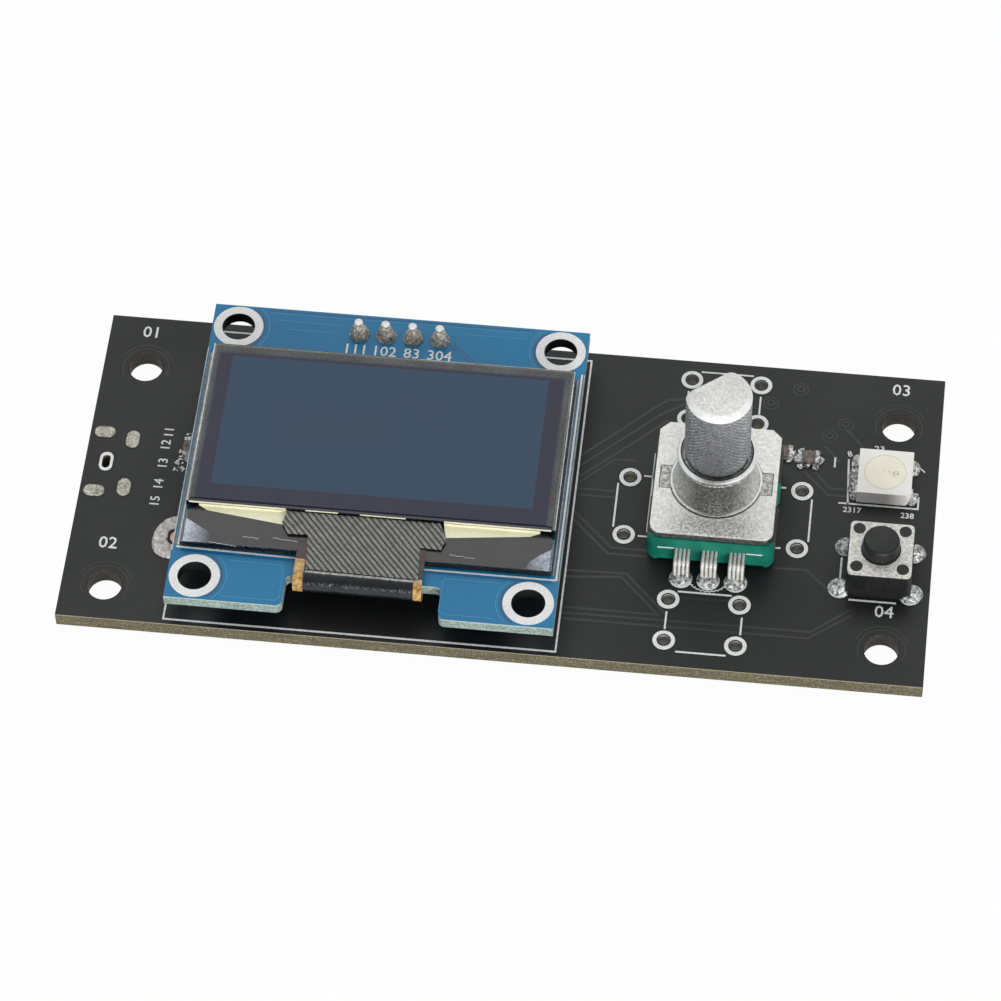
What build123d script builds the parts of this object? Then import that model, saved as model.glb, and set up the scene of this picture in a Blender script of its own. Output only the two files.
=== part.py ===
from build123d import *
import math
import os

# Printer display module: a long black circuit board that carries a blue display board on a
# pin header, a rotary encoder that also pushes, a reset button and one lamp, with the USB
# socket and the controller on its underside.
# X runs along the board to the right, Y to its back edge and Z up. The origin is under the
# middle of the board, on the surface that the socket's shell and the solder tails rest on.

# Main board
board_length = 79.0
board_width = 34.5
board_thickness = 1.6
board_hole_inset = 4.0
board_hole_spacing_y = 25.0
board_hole_centre_y = -1.1
board_hole_diameter = 3.3
pin_hole_diameter = 1.05
plating_height = 0.05
cut_margin = 0.5

# Empty button footprints, each of four plated holes
footprint_spacing_long = 6.5
footprint_spacing_short = 4.5
footprint_hole_diameter = 1.05
footprint_ring_diameter = 2.05
footprint_shift_x = -0.18
footprint_reach_x = 5.72
footprint_reach_back = 12.77
footprint_reach_front = 12.26

# Solder joints and the tails that they hold
solder_tail = 1.6
solder_tip_radius = 0.5
tail_joint_radius = 0.9
tail_joint_height = 1.0

# Display board and its header, the board as deep as its glass and two margins
display_length = 35.4
display_thickness = 1.2
display_from_left = 27.85
display_back_margin = 5.75
display_front_margin = 5.55
display_hole_inset = 2.5
display_hole_diameter = 3.1
display_ring_diameter = 4.66
notch_width = 14.2
notch_depth = 3.45
notch_shift_x = 0.15
notch_corner_radius = 0.6
header_pins = 4
header_pitch = 2.54
header_pin_side = 0.64
header_inset = 2.25
header_body_height = 2.5
header_body_width = 2.5
header_groove = 0.5
header_pin_above = 2.0
header_joint_radius = 0.95
header_joint_height = 1.5

# Display glass, its rear sheet longer than the front one by a ledge for the driver and the film
glass_width = 33.9
front_glass_depth = 18.1
glass_thickness = 0.7
glass_tape_thickness = 0.15
glass_tape_inset = 0.5
glass_tape_border = 1.5
polariser_thickness = 0.15
polariser_margin = 0.35
driver_length = 11.0
driver_width = 1.1
driver_height = 0.3
driver_from_glass = 0.9
driver_to_film = 0.9
flex_width = 11.7
flex_shift_x = -0.35
flex_thickness = 0.12
flex_bond = 1.2
flex_return = 5.0
flex_past_notch = 0.2
cover_tape_thickness = 0.08
cover_tape_wide = 14.9
cover_tape_narrow = 10.4
cover_tape_shift_x = -0.15
cover_tape_from_glass = 0.05
cover_tape_past_driver = 0.1
cover_tape_past_ledge = 2.15

# Rotary encoder, heights from the board's top
encoder_from_right = 20.2
encoder_y = 0.0
encoder_width = 11.7
encoder_depth = 11.8
encoder_corner = 0.9
encoder_under_corner = 0.4
encoder_foot = 0.3
encoder_foot_radius = 0.5
encoder_foot_inset = 0.8
encoder_base_height = 3.4
encoder_well_radius = 4.4
encoder_well_floor = 1.3
encoder_dome_seat = 0.55
encoder_dome_radius = 2.2
dome_clearance = 0.15
dome_gap = 0.03
dome_thickness = 0.08

# The encoder's cap and casting
bracket_thickness = 0.35
bracket_width = 11.2
bracket_depth = 12.3
bracket_skirt_inset = 1.5
bracket_rear_corner = 0.85
bracket_hole_radius = 4.3
bracket_slot_reach = 5.2
bracket_slot_width = 2.6
lug_width = 2.1
lug_clearance = 0.2
lug_tail = 1.5
lug_tip = 0.4
lug_joint_border = 0.35
lug_joint_height = 0.25
plate_height = 1.15
plate_corner = 0.8
plate_clearance = 0.05
plate_inset = 0.15
wing_clearance = 0.1
wing_drop = 0.05
flange_radius = 4.2
flange_rise = 0.08
bushing_foot_radius = 3.9
bushing_foot_height = 0.25
bushing_waist_radius = 3.66
bushing_waist_height = 1.6
bushing_radius = 3.43
bushing_height = 4.5
bushing_straight = 0.6
bushing_edge = 0.2
bushing_mouth_radius = 3.22
bushing_mouth_depth = 0.4

# The encoder's shaft, wheel and detent
shaft_radius = 3.0
shaft_end_radius = 2.98
shaft_seat_radius = 2.8
shaft_clearance = 0.04
shaft_above_bracket = 13.3
shaft_chamfer = 0.5
shaft_centre_radius = 0.25
shaft_centre_depth = 0.15
shaft_flat_length = 7.0
shaft_flat_distance = 1.5
shaft_flat_angle = 127.0
shaft_key_radius = 2.0
shaft_key_distance = 1.35
shaft_key_length = 3.2
shaft_stop_gap = 0.1
encoder_push = 0.5
rotor_rise = 0.3
rotor_foot_gap = 0.15
rotor_side_gap = 0.25
rotor_rim_drop = 0.3
rotor_head_gap = 0.3
rotor_key_clearance = 0.05
crown_radius = 3.4
crown_notches = 20
crown_notch_radius = 0.3
detent_gap = 0.1
detent_thickness = 0.15
detent_inner_radius = 3.6
detent_side_gap = 0.05

# The encoder's terminals
encoder_pin_pitch = 2.5
encoder_front_reach = 7.45
encoder_rear_reach = 7.0
encoder_terminal_width = 1.5
encoder_terminal_thickness = 0.3
encoder_terminal_rise = 2.3
encoder_terminal_inside = 1.2
encoder_terminal_bend = 0.45
encoder_tail_width = 0.9
encoder_tail = 1.4
encoder_joint_radius = 1.0
encoder_joint_height = 0.5

# Reset button, heights from the board's top
button_from_right = 4.75
button_y = -4.95
button_side = 6.0
button_corner = 0.35
button_base_height = 3.2
button_well_radius = 2.4
button_well_floor = 1.0
button_dome_radius = 2.3
button_cover_side = 5.8
button_cover_corner = 0.45
button_cover_thickness = 0.3
button_stake_inset = 0.8
button_stake_radius = 0.56
button_stake_height = 0.05
button_radius = 1.75
button_top_radius = 1.65
button_edge = 0.15
button_height = 5.0
button_clearance = 0.08
button_travel = 0.25
button_nub_radius = 0.8
button_shoulder_height = 0.8
button_shoulder_gap = 0.05
button_shoulder_clearance = 0.15
button_pin_x = 3.2
button_pin_y = 2.25
button_pin_width = 0.7
button_pin_thickness = 0.3
button_pin_rise = 0.6
button_pin_inside = 0.5
button_tail = 1.4
button_joint_radius = 0.95
button_joint_height = 0.75

# Lamp
lamp_from_right = 4.9
lamp_y = 5.05
lamp_side = 5.0
lamp_height = 1.6
lamp_corner = 0.5
lamp_cup_radius = 2.0
lamp_cup_floor_radius = 1.6
lamp_cup_depth = 0.9
lamp_lead_width = 1.0
lamp_lead_thickness = 0.15
lamp_lead_offset = 1.6
lamp_lead_rise = 0.8
lamp_lead_foot = 0.9
lamp_driver_length = 0.9
lamp_driver_width = 0.7
lamp_driver_height = 0.2
lamp_driver_shift = 0.45
lamp_die_side = 0.35
lamp_die_height = 0.15
lamp_die_shift = 0.7
lamp_die_pitch = 0.75

# Chip parts: a large size on the top and a small one on the two undersides
chip_large_length = 2.0
chip_large_width = 1.25
chip_large_height = 0.6
chip_small_length = 1.6
chip_small_width = 0.8
chip_small_height = 0.45
chip_end_length = 0.35
right_chip_from_encoder_x = 8.1
right_chip_from_encoder_y = 6.9
rear_chip_from_encoder_x = 5.6
rear_chip_from_encoder_y = 7.3
left_chip_from_display = 0.55
left_chip_y = 2.3
display_chip_columns = 4
display_chip_pitch = 2.6
display_chip_row_gap = 3.0
display_chip_shift_x = -2.1
display_chip_y = 3.5
under_chip_columns = 4
under_chip_pitch = 4.0
under_chip_reach = 6.0

# Tinned pad half under the display
tinned_pad_from_display = 0.25
tinned_pad_y = -7.8
tinned_pad_radius = 2.6
tinned_pad_height = 0.45
tinned_pad_edge = 0.3
tinned_pad_slope = 0.9
copper_spot_radius = 1.0
copper_spot_height = 0.16
copper_spot_lip = 0.25

# USB socket under the left edge
socket_height = 2.5
socket_width = 7.0
socket_length = 4.2
socket_y = 0.2
socket_wall = 0.25
socket_corner = 0.9
socket_front_lug_x = 1.36
socket_rear_lug_spacing = 5.5
socket_lug_length = 1.1
socket_lug_proud = 0.05
socket_slot_length = 1.5
socket_slot_width = 0.75
socket_pad_length = 1.95
socket_pad_width = 1.25
socket_pad_height = 0.12
socket_insert_length = 1.3
socket_insert_gap = 0.02
socket_tongue_width = 3.6
socket_tongue_thickness = 0.6
socket_tongue_drop = 0.4
socket_tongue_inset = 0.4
socket_contact_count = 5
socket_contact_pitch = 0.65
socket_contact_width = 0.3
socket_contact_thickness = 0.1
socket_contact_length = 2.0
socket_contact_inset = 0.6
spare_slot_from_left = 1.98
spare_pad_length = 2.1

# Controller and regulator on the underside
controller_from_left = 26.5
controller_y = 2.0
controller_length = 6.5
controller_width = 4.4
controller_height = 1.0
controller_leads = 20
controller_pitch = 0.65
controller_lead_width = 0.24
regulator_from_left = 12.5
regulator_y = 9.0
regulator_length = 2.9
regulator_width = 1.3
regulator_height = 1.05
regulator_pitch = 0.95
regulator_lead_width = 0.4
package_gap = 0.05
package_edge = 0.12
lead_span = 1.0
lead_thickness = 0.15

# Heights and edges that several pieces share
board_left = -board_length / 2
board_right = board_length / 2
board_under = socket_height
board_top = board_under + board_thickness
display_under = board_top + header_body_height
display_top = display_under + display_thickness
rear_glass_under = display_top + glass_tape_thickness
rear_glass_top = rear_glass_under + glass_thickness
front_glass_top = rear_glass_top + glass_thickness
ledge_depth = driver_from_glass + driver_width + driver_to_film + flex_bond
rear_glass_depth = front_glass_depth + ledge_depth
display_width = display_back_margin + rear_glass_depth + display_front_margin
display_x = board_left + display_from_left
display_left = display_x - display_length / 2
display_chip_x = display_x + display_chip_shift_x
tinned_pad_x = display_left - tinned_pad_from_display
spare_slot_x = board_left + spare_slot_from_left
controller_x = board_left + controller_from_left
regulator_x = board_left + regulator_from_left
encoder_x = board_right - encoder_from_right
footprint_x = encoder_x + footprint_shift_x
button_x = board_right - button_from_right
lamp_x = board_right - lamp_from_right
glass_back_y = display_width / 2 - display_back_margin
front_glass_edge = glass_back_y - front_glass_depth
rear_glass_edge = glass_back_y - rear_glass_depth
driver_y = front_glass_edge - driver_from_glass - driver_width / 2
notch_inner_y = -display_width / 2 + notch_depth
header_y = display_width / 2 - header_inset
bottom_aligned = (Align.CENTER, Align.CENTER, Align.MIN)


def save(name, *pieces):
    solids = []
    for piece in pieces:
        solids.extend(piece.solids())
    export_step(solids[0] if len(solids) == 1 else Compound(solids), f"parts/{name}.step")


def block(length, width, height, x, y, z):
    return Pos(x, y, z) * Box(length, width, height, align=bottom_aligned)


def peg(radius, height, x, y, z):
    return Pos(x, y, z) * Cylinder(radius, height, align=bottom_aligned)


def oval(length, width, height, x, y, z, along_x=True):
    turn = 0 if along_x else 90
    return Pos(x, y, z) * extrude(Rot(0, 0, turn) * SlotOverall(length, width), amount=height)


def turned(points, x=0.0, y=0.0, z=0.0):
    """A solid of revolution about Z from its half section, given as radius and height."""
    section = make_face(Polyline([(r, 0, h) for r, h in points], close=True))
    return Pos(x, y, z) * revolve(section, Axis.Z)


def ribbon(side_points, width, x, y=0.0, z=0.0):
    """A strip as wide as given along X, from its side section in Y and Z."""
    section = make_face(Polyline([(0, across, up) for across, up in side_points], close=True))
    return Pos(x - width / 2, y, z) * extrude(section, amount=width, dir=(1, 0, 0))


def solder_cone(pad_radius, height, x, y, z):
    """A joint that sweeps from its pad to the pin in a hollow curve, down where height is negative."""
    waist_radius = solder_tip_radius + (pad_radius - solder_tip_radius) / 8
    points = [
        (0, 0), (pad_radius, 0), (waist_radius, height * 0.42), (solder_tip_radius, height), (0, height),
    ]
    return turned(points, x, y, z)


def solder_mound(radius, height, x, y, z):
    """A low round joint over a flat leg."""
    points = [(0, 0), (radius, 0), (radius * 0.82, height / 2), (radius / 2, height), (0, height)]
    return turned(points, x, y, z)


def tail_joint(x, y):
    """The joint round a tail under the board, and the solder in its hole."""
    cone = solder_cone(tail_joint_radius, -tail_joint_height, x, y, board_under)
    return cone + peg(pin_hole_diameter / 2, board_thickness, x, y, board_under)


def corner_places(spacing_x, spacing_y, x=0.0, y=0.0):
    return [(x + i * spacing_x / 2, y + j * spacing_y / 2) for j in (-1, 1) for i in (-1, 1)]


# Places that several pieces share
board_hole_places = corner_places(
    board_length - 2 * board_hole_inset, board_hole_spacing_y, 0, board_hole_centre_y
)
display_hole_places = corner_places(
    display_length - 2 * display_hole_inset, display_width - 2 * display_hole_inset, display_x
)
header_places = [
    (display_x + (i - (header_pins - 1) / 2) * header_pitch, header_y) for i in range(header_pins)
]
encoder_front_places = [
    (encoder_x + i * encoder_pin_pitch, encoder_y - encoder_front_reach) for i in (-1, 0, 1)
]
encoder_rear_places = [
    (encoder_x + i * encoder_pin_pitch, encoder_y + encoder_rear_reach) for i in (-1, 1)
]
lug_reach = bracket_width / 2 - bracket_thickness / 2
lug_places = [(encoder_x + i * lug_reach, encoder_y) for i in (-1, 1)]
lug_slot_length = lug_width + 2 * lug_clearance
lug_slot_width = bracket_thickness + 2 * lug_clearance
button_pin_places = corner_places(2 * button_pin_x, 2 * button_pin_y, button_x, button_y)
footprint_places = (
    corner_places(footprint_spacing_long, footprint_spacing_short, footprint_x, footprint_reach_back)
    + corner_places(footprint_spacing_long, footprint_spacing_short, footprint_x, -footprint_reach_front)
    + corner_places(footprint_spacing_short, footprint_spacing_long, footprint_x - footprint_reach_x)
    + corner_places(footprint_spacing_short, footprint_spacing_long, footprint_x + footprint_reach_x)
)
side_wall_y = socket_width / 2 - socket_wall / 2
front_lug_places = [(board_left + socket_front_lug_x, socket_y + i * side_wall_y) for i in (-1, 1)]
rear_wall_x = board_left + socket_length - socket_wall / 2
rear_lug_places = [(rear_wall_x, socket_y + i * socket_rear_lug_spacing / 2) for i in (-1, 1)]


def main_board():
    board = block(board_length, board_width, board_thickness, 0, 0, board_under)
    through = board_thickness + 2 * cut_margin
    start = board_under - cut_margin
    for x, y in board_hole_places:
        board -= peg(board_hole_diameter / 2, through, x, y, start)
    for x, y in footprint_places:
        board -= peg(footprint_hole_diameter / 2, through, x, y, start)
    for x, y in header_places + encoder_front_places + encoder_rear_places + button_pin_places:
        board -= peg(pin_hole_diameter / 2, through, x, y, start)
    for x, y in lug_places:
        board -= oval(lug_slot_length, lug_slot_width, through, x, y, start, along_x=False)
    for x, y in front_lug_places:
        board -= oval(socket_slot_length, socket_slot_width, through, x, y, start)
    for x, y in rear_lug_places + [(spare_slot_x, socket_y)]:
        board -= oval(socket_slot_length, socket_slot_width, through, x, y, start, along_x=False)
    return board


def hole_rings():
    """The tinned rings round the empty holes, proud of the board by the copper's height."""
    rings = []
    bore = footprint_hole_diameter / 2
    for x, y in footprint_places:
        for z in (board_top, board_under - plating_height):
            ring = peg(footprint_ring_diameter / 2, plating_height, x, y, z)
            rings.append(ring - peg(bore, plating_height, x, y, z))
    place = (spare_slot_x, socket_y, board_top)
    spare = oval(spare_pad_length, socket_pad_width, plating_height, *place, along_x=False)
    spare -= oval(socket_slot_length, socket_slot_width, plating_height, *place, along_x=False)
    rings.append(spare)
    return rings


def display_board():
    board = block(display_length, display_width, display_thickness, display_x, 0, display_under)
    notch_x = display_x + notch_shift_x
    front = -display_width / 2
    notch = block(notch_width, 2 * notch_depth, display_thickness, notch_x, front, display_under)
    notch = fillet(notch.edges().filter_by(Axis.Z).group_by(Axis.Y)[-1], notch_corner_radius)
    board -= notch
    mouth = board.edges().filter_by(Axis.Z).filter_by(
        lambda edge: abs(edge.center().Y - front) < 0.01 and abs(edge.center().X - notch_x) < notch_width
    )
    board = fillet(mouth, notch_corner_radius)
    for x, y in display_hole_places:
        board -= peg(display_hole_diameter / 2, display_thickness, x, y, display_under)
    for x, y in header_places:
        board -= peg(pin_hole_diameter / 2, display_thickness, x, y, display_under)
    return board


def display_rings():
    rings = []
    for x, y in display_hole_places:
        ring = peg(display_ring_diameter / 2, plating_height, x, y, display_top)
        rings.append(ring - peg(display_hole_diameter / 2, plating_height, x, y, display_top))
    return rings


def display_glass(depth, z):
    return block(glass_width, depth, glass_thickness, display_x, glass_back_y - depth / 2, z)


def glass_tape():
    """A frame of double-sided tape that holds the glass to the display board."""
    y = glass_back_y - rear_glass_depth / 2
    width = glass_width - 2 * glass_tape_inset
    depth = rear_glass_depth - 2 * glass_tape_inset
    tape = block(width, depth, glass_tape_thickness, display_x, y, display_top)
    inner_width = width - 2 * glass_tape_border
    inner_depth = depth - 2 * glass_tape_border
    return tape - block(inner_width, inner_depth, glass_tape_thickness, display_x, y, display_top)


def polariser():
    width = glass_width - 2 * polariser_margin
    depth = front_glass_depth - 2 * polariser_margin
    y = glass_back_y - front_glass_depth / 2
    return block(width, depth, polariser_thickness, display_x, y, front_glass_top)


def driver_chip():
    return block(driver_length, driver_width, driver_height, display_x, driver_y, rear_glass_top)


def flex_cable():
    """The film that leaves the glass, bends down through the notch and ends under the board."""
    top = rear_glass_top + flex_thickness
    under = display_under - flex_thickness
    outer = (top - under) / 2
    inner = outer - flex_thickness
    middle_z = (top + under) / 2
    bend_y = notch_inner_y - flex_past_notch
    start_y = rear_glass_edge + flex_bond
    end_y = bend_y + flex_return
    path = Line((0, start_y, top), (0, bend_y, top))
    path += ThreePointArc((0, bend_y, top), (0, bend_y - outer, middle_z), (0, bend_y, under))
    path += Line((0, bend_y, under), (0, end_y, under))
    path += Line((0, end_y, under), (0, end_y, display_under))
    path += Line((0, end_y, display_under), (0, bend_y, display_under))
    path += ThreePointArc(
        (0, bend_y, display_under), (0, bend_y - inner, middle_z), (0, bend_y, rear_glass_top)
    )
    path += Line((0, bend_y, rear_glass_top), (0, start_y, rear_glass_top))
    path += Line((0, start_y, rear_glass_top), (0, start_y, top))
    strip = extrude(make_face(path), amount=flex_width, dir=(1, 0, 0))
    return Pos(display_x + flex_shift_x - flex_width / 2, 0, 0) * strip


def cover_tape():
    """Tape over the driver chip and the start of the film: a wide head and a narrow tail."""
    high = rear_glass_top + driver_height
    low = rear_glass_top + flex_thickness
    back = front_glass_edge - cover_tape_from_glass
    step = driver_y - driver_width / 2 - cover_tape_past_driver
    film = rear_glass_edge + flex_bond
    front = rear_glass_edge - cover_tape_past_ledge
    thick = cover_tape_thickness
    section = [
        (back, high), (step, high), (film, low), (front, low),
        (front, low + thick), (film, low + thick), (step, high + thick), (back, high + thick),
    ]
    x = display_x + cover_tape_shift_x
    tail = ribbon(section, cover_tape_narrow, x)
    head = block(cover_tape_wide, back - step, thick, x, (back + step) / 2, high)
    return tail + head


def header_body():
    """The header's black body, a row of cells with a groove on each side between them."""
    length = header_pins * header_pitch
    body = block(length, header_body_width, header_body_height, display_x, header_y, board_top)
    for i in range(header_pins + 1):
        x = display_x + (i - header_pins / 2) * header_pitch
        for side in (-1, 1):
            groove = Rot(0, 0, 45) * block(header_groove, header_groove, header_body_height, 0, 0, 0)
            body -= Pos(x, header_y + side * header_body_width / 2, board_top) * groove
    for x, y in header_places:
        body -= block(header_pin_side, header_pin_side, header_body_height, x, y, board_top)
    return body


def header_pin_set():
    pins = []
    low = board_under - solder_tail
    high = display_top + header_pin_above
    for x, y in header_places:
        pin = block(header_pin_side, header_pin_side, high - low, x, y, low)
        pins.append(chamfer(pin.edges().filter_by(Axis.Z, reverse=True), header_pin_side / 5))
    return pins


def pin_core(x, y, low, high):
    """The straight part of a header pin between two heights, to cut it out of its solder."""
    return block(header_pin_side, header_pin_side, high - low, x, y, low)


def header_joints_top():
    joints = []
    for x, y in header_places:
        joint = solder_cone(header_joint_radius, header_joint_height, x, y, display_top)
        joint += peg(pin_hole_diameter / 2, display_thickness, x, y, display_under)
        joints.append(joint - pin_core(x, y, display_under, display_top + header_joint_height))
    return joints


def header_joints_under():
    low = board_under - tail_joint_height
    return [tail_joint(x, y) - pin_core(x, y, low, board_top) for x, y in header_places]


# Heights in the encoder
base_under = board_top + encoder_foot
base_top = base_under + encoder_base_height
bracket_under = base_top + plate_height
bracket_top = bracket_under + bracket_thickness
well_floor = base_under + encoder_well_floor
dome_seat = base_under + encoder_dome_seat
rotor_top = base_top + rotor_rise
shaft_shoulder = rotor_top + encoder_push + shaft_stop_gap
bushing_top = bracket_top + bushing_height
shaft_collar = bushing_top + encoder_push + shaft_stop_gap
shaft_top = bracket_top + shaft_above_bracket
key_tip = shaft_shoulder - shaft_key_length
encoder_dome_height = key_tip - dome_seat - dome_gap


def encoder_base():
    """The green moulded base: a well for the wheel, grooves for the lugs and corner feet."""
    width = encoder_width
    depth = encoder_depth
    base = block(width, depth, encoder_base_height, encoder_x, encoder_y, base_under)
    base = fillet(base.edges().filter_by(Axis.Z), encoder_corner)
    base = fillet(base.edges().group_by(Axis.Z)[0], encoder_under_corner)
    base -= peg(encoder_well_radius, encoder_base_height, encoder_x, encoder_y, well_floor)
    base -= peg(encoder_dome_radius + dome_clearance, encoder_base_height, encoder_x, encoder_y, dome_seat)
    groove = bracket_thickness + lug_clearance + (width - bracket_width) / 2
    for side in (-1, 1):
        x = encoder_x + side * (width / 2 - groove / 2)
        base -= block(groove, lug_slot_length, encoder_base_height, x, encoder_y, base_under)
    foot_height = encoder_foot + encoder_under_corner
    foot_spacing_x = width - 2 * encoder_foot_inset
    foot_spacing_y = depth - 2 * encoder_foot_inset
    for x, y in corner_places(foot_spacing_x, foot_spacing_y, encoder_x, encoder_y):
        base += peg(encoder_foot_radius, foot_height, x, y, board_top)
    for x, y in encoder_front_places + encoder_rear_places:
        base -= terminal_strip(x, y)
    return base


def terminal_side(y):
    """Which side of the encoder a terminal is on, and where it leaves the base."""
    side = -1 if y < encoder_y else 1
    return side, encoder_y + side * (encoder_depth / 2)


def terminal_strip(x, y):
    """One stamped terminal: out of the base, over a bend and down through the board."""
    side, face_y = terminal_side(y)
    thick = encoder_terminal_thickness
    bend = encoder_terminal_bend
    rise = board_top + encoder_terminal_rise
    outer = y + side * thick / 2
    inner = y - side * thick / 2
    inside = face_y - side * encoder_terminal_inside
    section = [
        (inside, rise - thick), (inner - side * bend, rise - thick), (inner, rise - thick - bend),
        (inner, board_top), (outer, board_top), (outer, rise - bend),
        (outer - side * bend, rise), (inside, rise),
    ]
    strip = ribbon(section, encoder_terminal_width, x)
    tail_height = board_thickness + encoder_tail
    return strip + block(encoder_tail_width, thick, tail_height, x, y, board_top - tail_height)


def lug_joint(x, y):
    """Solder in and under one lug slot."""
    joint = oval(lug_slot_length, lug_slot_width, board_thickness, x, y, board_under, along_x=False)
    length = lug_slot_length + 2 * lug_joint_border
    width = lug_slot_width + 2 * lug_joint_border
    joint += oval(length, width, lug_joint_height, x, y, board_under - lug_joint_height, along_x=False)
    height = board_thickness + lug_joint_height
    return joint - block(bracket_thickness, lug_width, height, x, y, board_under - lug_joint_height)


def encoder_joints():
    joints = []
    for x, y in encoder_front_places + encoder_rear_places:
        over = solder_mound(encoder_joint_radius, encoder_joint_height, x, y, board_top)
        joints.append(over + tail_joint(x, y) - terminal_strip(x, y))
    for x, y in lug_places:
        joints.append(lug_joint(x, y))
    return joints


def encoder_bracket():
    """The stamped steel cap: a flat top, two skirts and the lugs that pass through the board."""
    cap = block(bracket_width, bracket_depth, bracket_thickness, encoder_x, encoder_y, bracket_under)
    cap = chamfer(cap.edges().filter_by(Axis.Z).group_by(Axis.Y)[-1], bracket_rear_corner)
    cap = fillet(cap.edges().filter_by(Axis.Z).group_by(Axis.Y)[0], encoder_corner)
    cap -= peg(bracket_hole_radius, bracket_thickness, encoder_x, encoder_y, bracket_under)
    slot_length = 2 * bracket_slot_reach
    cap -= block(slot_length, bracket_slot_width, bracket_thickness, encoder_x, encoder_y, bracket_under)
    skirt_length = bracket_depth - 2 * bracket_skirt_inset
    skirt_height = bracket_top - base_top
    lug_end = board_under - lug_tail
    for x, y in lug_places:
        cap += block(bracket_thickness, skirt_length, skirt_height, x, y, base_top)
        lug = block(bracket_thickness, lug_width, bracket_top - lug_end, x, y, lug_end)
        cap += chamfer(lug.edges().filter_by(Axis.X).group_by(Axis.Z)[0], lug_tip)
    return cap


def encoder_bushing():
    """The die-cast plate and bushing in one casting, with wings that show through the cap."""
    plate_width = bracket_width - 2 * bracket_thickness - 2 * plate_clearance
    plate_depth = encoder_depth - 2 * plate_inset
    plate = block(plate_width, plate_depth, plate_height, encoder_x, encoder_y, base_top)
    plate = fillet(plate.edges().filter_by(Axis.Z), plate_corner)
    wing_length = 2 * (bracket_slot_reach - wing_clearance)
    wing_width = bracket_slot_width - 2 * wing_clearance
    wing_height = bracket_thickness - wing_drop
    plate += block(wing_length, wing_width, wing_height, encoder_x, encoder_y, bracket_under)
    rise = bushing_height
    outline = [
        (0, -bracket_thickness), (flange_radius, -bracket_thickness), (flange_radius, flange_rise),
        (bushing_foot_radius, bushing_foot_height), (bushing_waist_radius, bushing_waist_height),
        (bushing_radius, rise - bushing_straight), (bushing_radius, rise - bushing_edge),
        (bushing_radius - bushing_edge / 2, rise), (0, rise),
    ]
    casting = plate + turned(outline, encoder_x, encoder_y, bracket_top)
    bore = shaft_seat_radius + shaft_clearance
    casting -= peg(bore, bushing_top - base_top, encoder_x, encoder_y, base_top)
    mouth_z = bushing_top - bushing_mouth_depth
    casting -= peg(bushing_mouth_radius, bushing_mouth_depth, encoder_x, encoder_y, mouth_z)
    well_height = rotor_rise + rotor_head_gap
    return casting - peg(encoder_well_radius, well_height, encoder_x, encoder_y, base_top)


def shaft_key(radius, distance, height, z):
    """A round bar with two flats, the form that turns the wheel and slides through it."""
    bar = peg(radius, height, encoder_x, encoder_y, z)
    slab = block(2 * distance, 2 * radius, height, encoder_x, encoder_y, z)
    return bar & slab


def encoder_shaft():
    """The D shaft: a key below, a seat in the bushing, a collar and the flatted end."""
    flat_start = shaft_top - shaft_flat_length
    end = peg(shaft_end_radius, shaft_flat_length, encoder_x, encoder_y, flat_start)
    end = chamfer(end.edges().group_by(Axis.Z)[-1], shaft_chamfer)
    flat_side = (Align.MIN, Align.CENTER, Align.MIN)
    flat = Box(shaft_radius, 2 * shaft_radius, shaft_flat_length, align=flat_side)
    flat = Rot(0, 0, shaft_flat_angle) * Pos(shaft_flat_distance, 0, 0) * flat
    end -= Pos(encoder_x, encoder_y, flat_start) * flat
    centre = [(0, 0), (shaft_centre_radius, 0), (0, -shaft_centre_depth)]
    end -= turned(centre, encoder_x, encoder_y, shaft_top)
    shaft = end + peg(shaft_radius, flat_start - shaft_collar, encoder_x, encoder_y, shaft_collar)
    shaft += peg(shaft_seat_radius, shaft_collar - shaft_shoulder, encoder_x, encoder_y, shaft_shoulder)
    return shaft + shaft_key(shaft_key_radius, shaft_key_distance, shaft_key_length, key_tip)


def encoder_rotor():
    """The inner wheel: contact disc below, detent crown above, keyed to the shaft."""
    under = well_floor + rotor_foot_gap
    rim_top = base_top - rotor_rim_drop
    disc = peg(encoder_well_radius - rotor_side_gap, rim_top - under, encoder_x, encoder_y, under)
    crown_height = rotor_top - rim_top
    crown = peg(crown_radius, crown_height, encoder_x, encoder_y, rim_top)
    for i in range(crown_notches):
        angle = math.radians(i * 360 / crown_notches)
        x = encoder_x + crown_radius * math.cos(angle)
        y = encoder_y + crown_radius * math.sin(angle)
        crown -= peg(crown_notch_radius, crown_height, x, y, rim_top)
    radius = shaft_key_radius + rotor_key_clearance
    distance = shaft_key_distance + rotor_key_clearance
    return disc + crown - shaft_key(radius, distance, rotor_top - under, under)


def detent_spring():
    """A flat spring ring that lies round the crown, under the casting."""
    z = rotor_top + detent_gap
    radius = encoder_well_radius - detent_side_gap
    ring = peg(radius, detent_thickness, encoder_x, encoder_y, z)
    return ring - peg(detent_inner_radius, detent_thickness, encoder_x, encoder_y, z)


def cap_arc(radius, height, ball_radius):
    """The arc of a ball's cap from its rim up to its crown, with the cap's height above zero."""
    centre = height - ball_radius
    rim = math.sqrt(ball_radius ** 2 - centre ** 2)
    half = math.asin(rim / ball_radius) / 2
    middle = (ball_radius * math.sin(half), 0, centre + ball_radius * math.cos(half))
    return (rim, 0, 0), middle, (0, 0, height)


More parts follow.
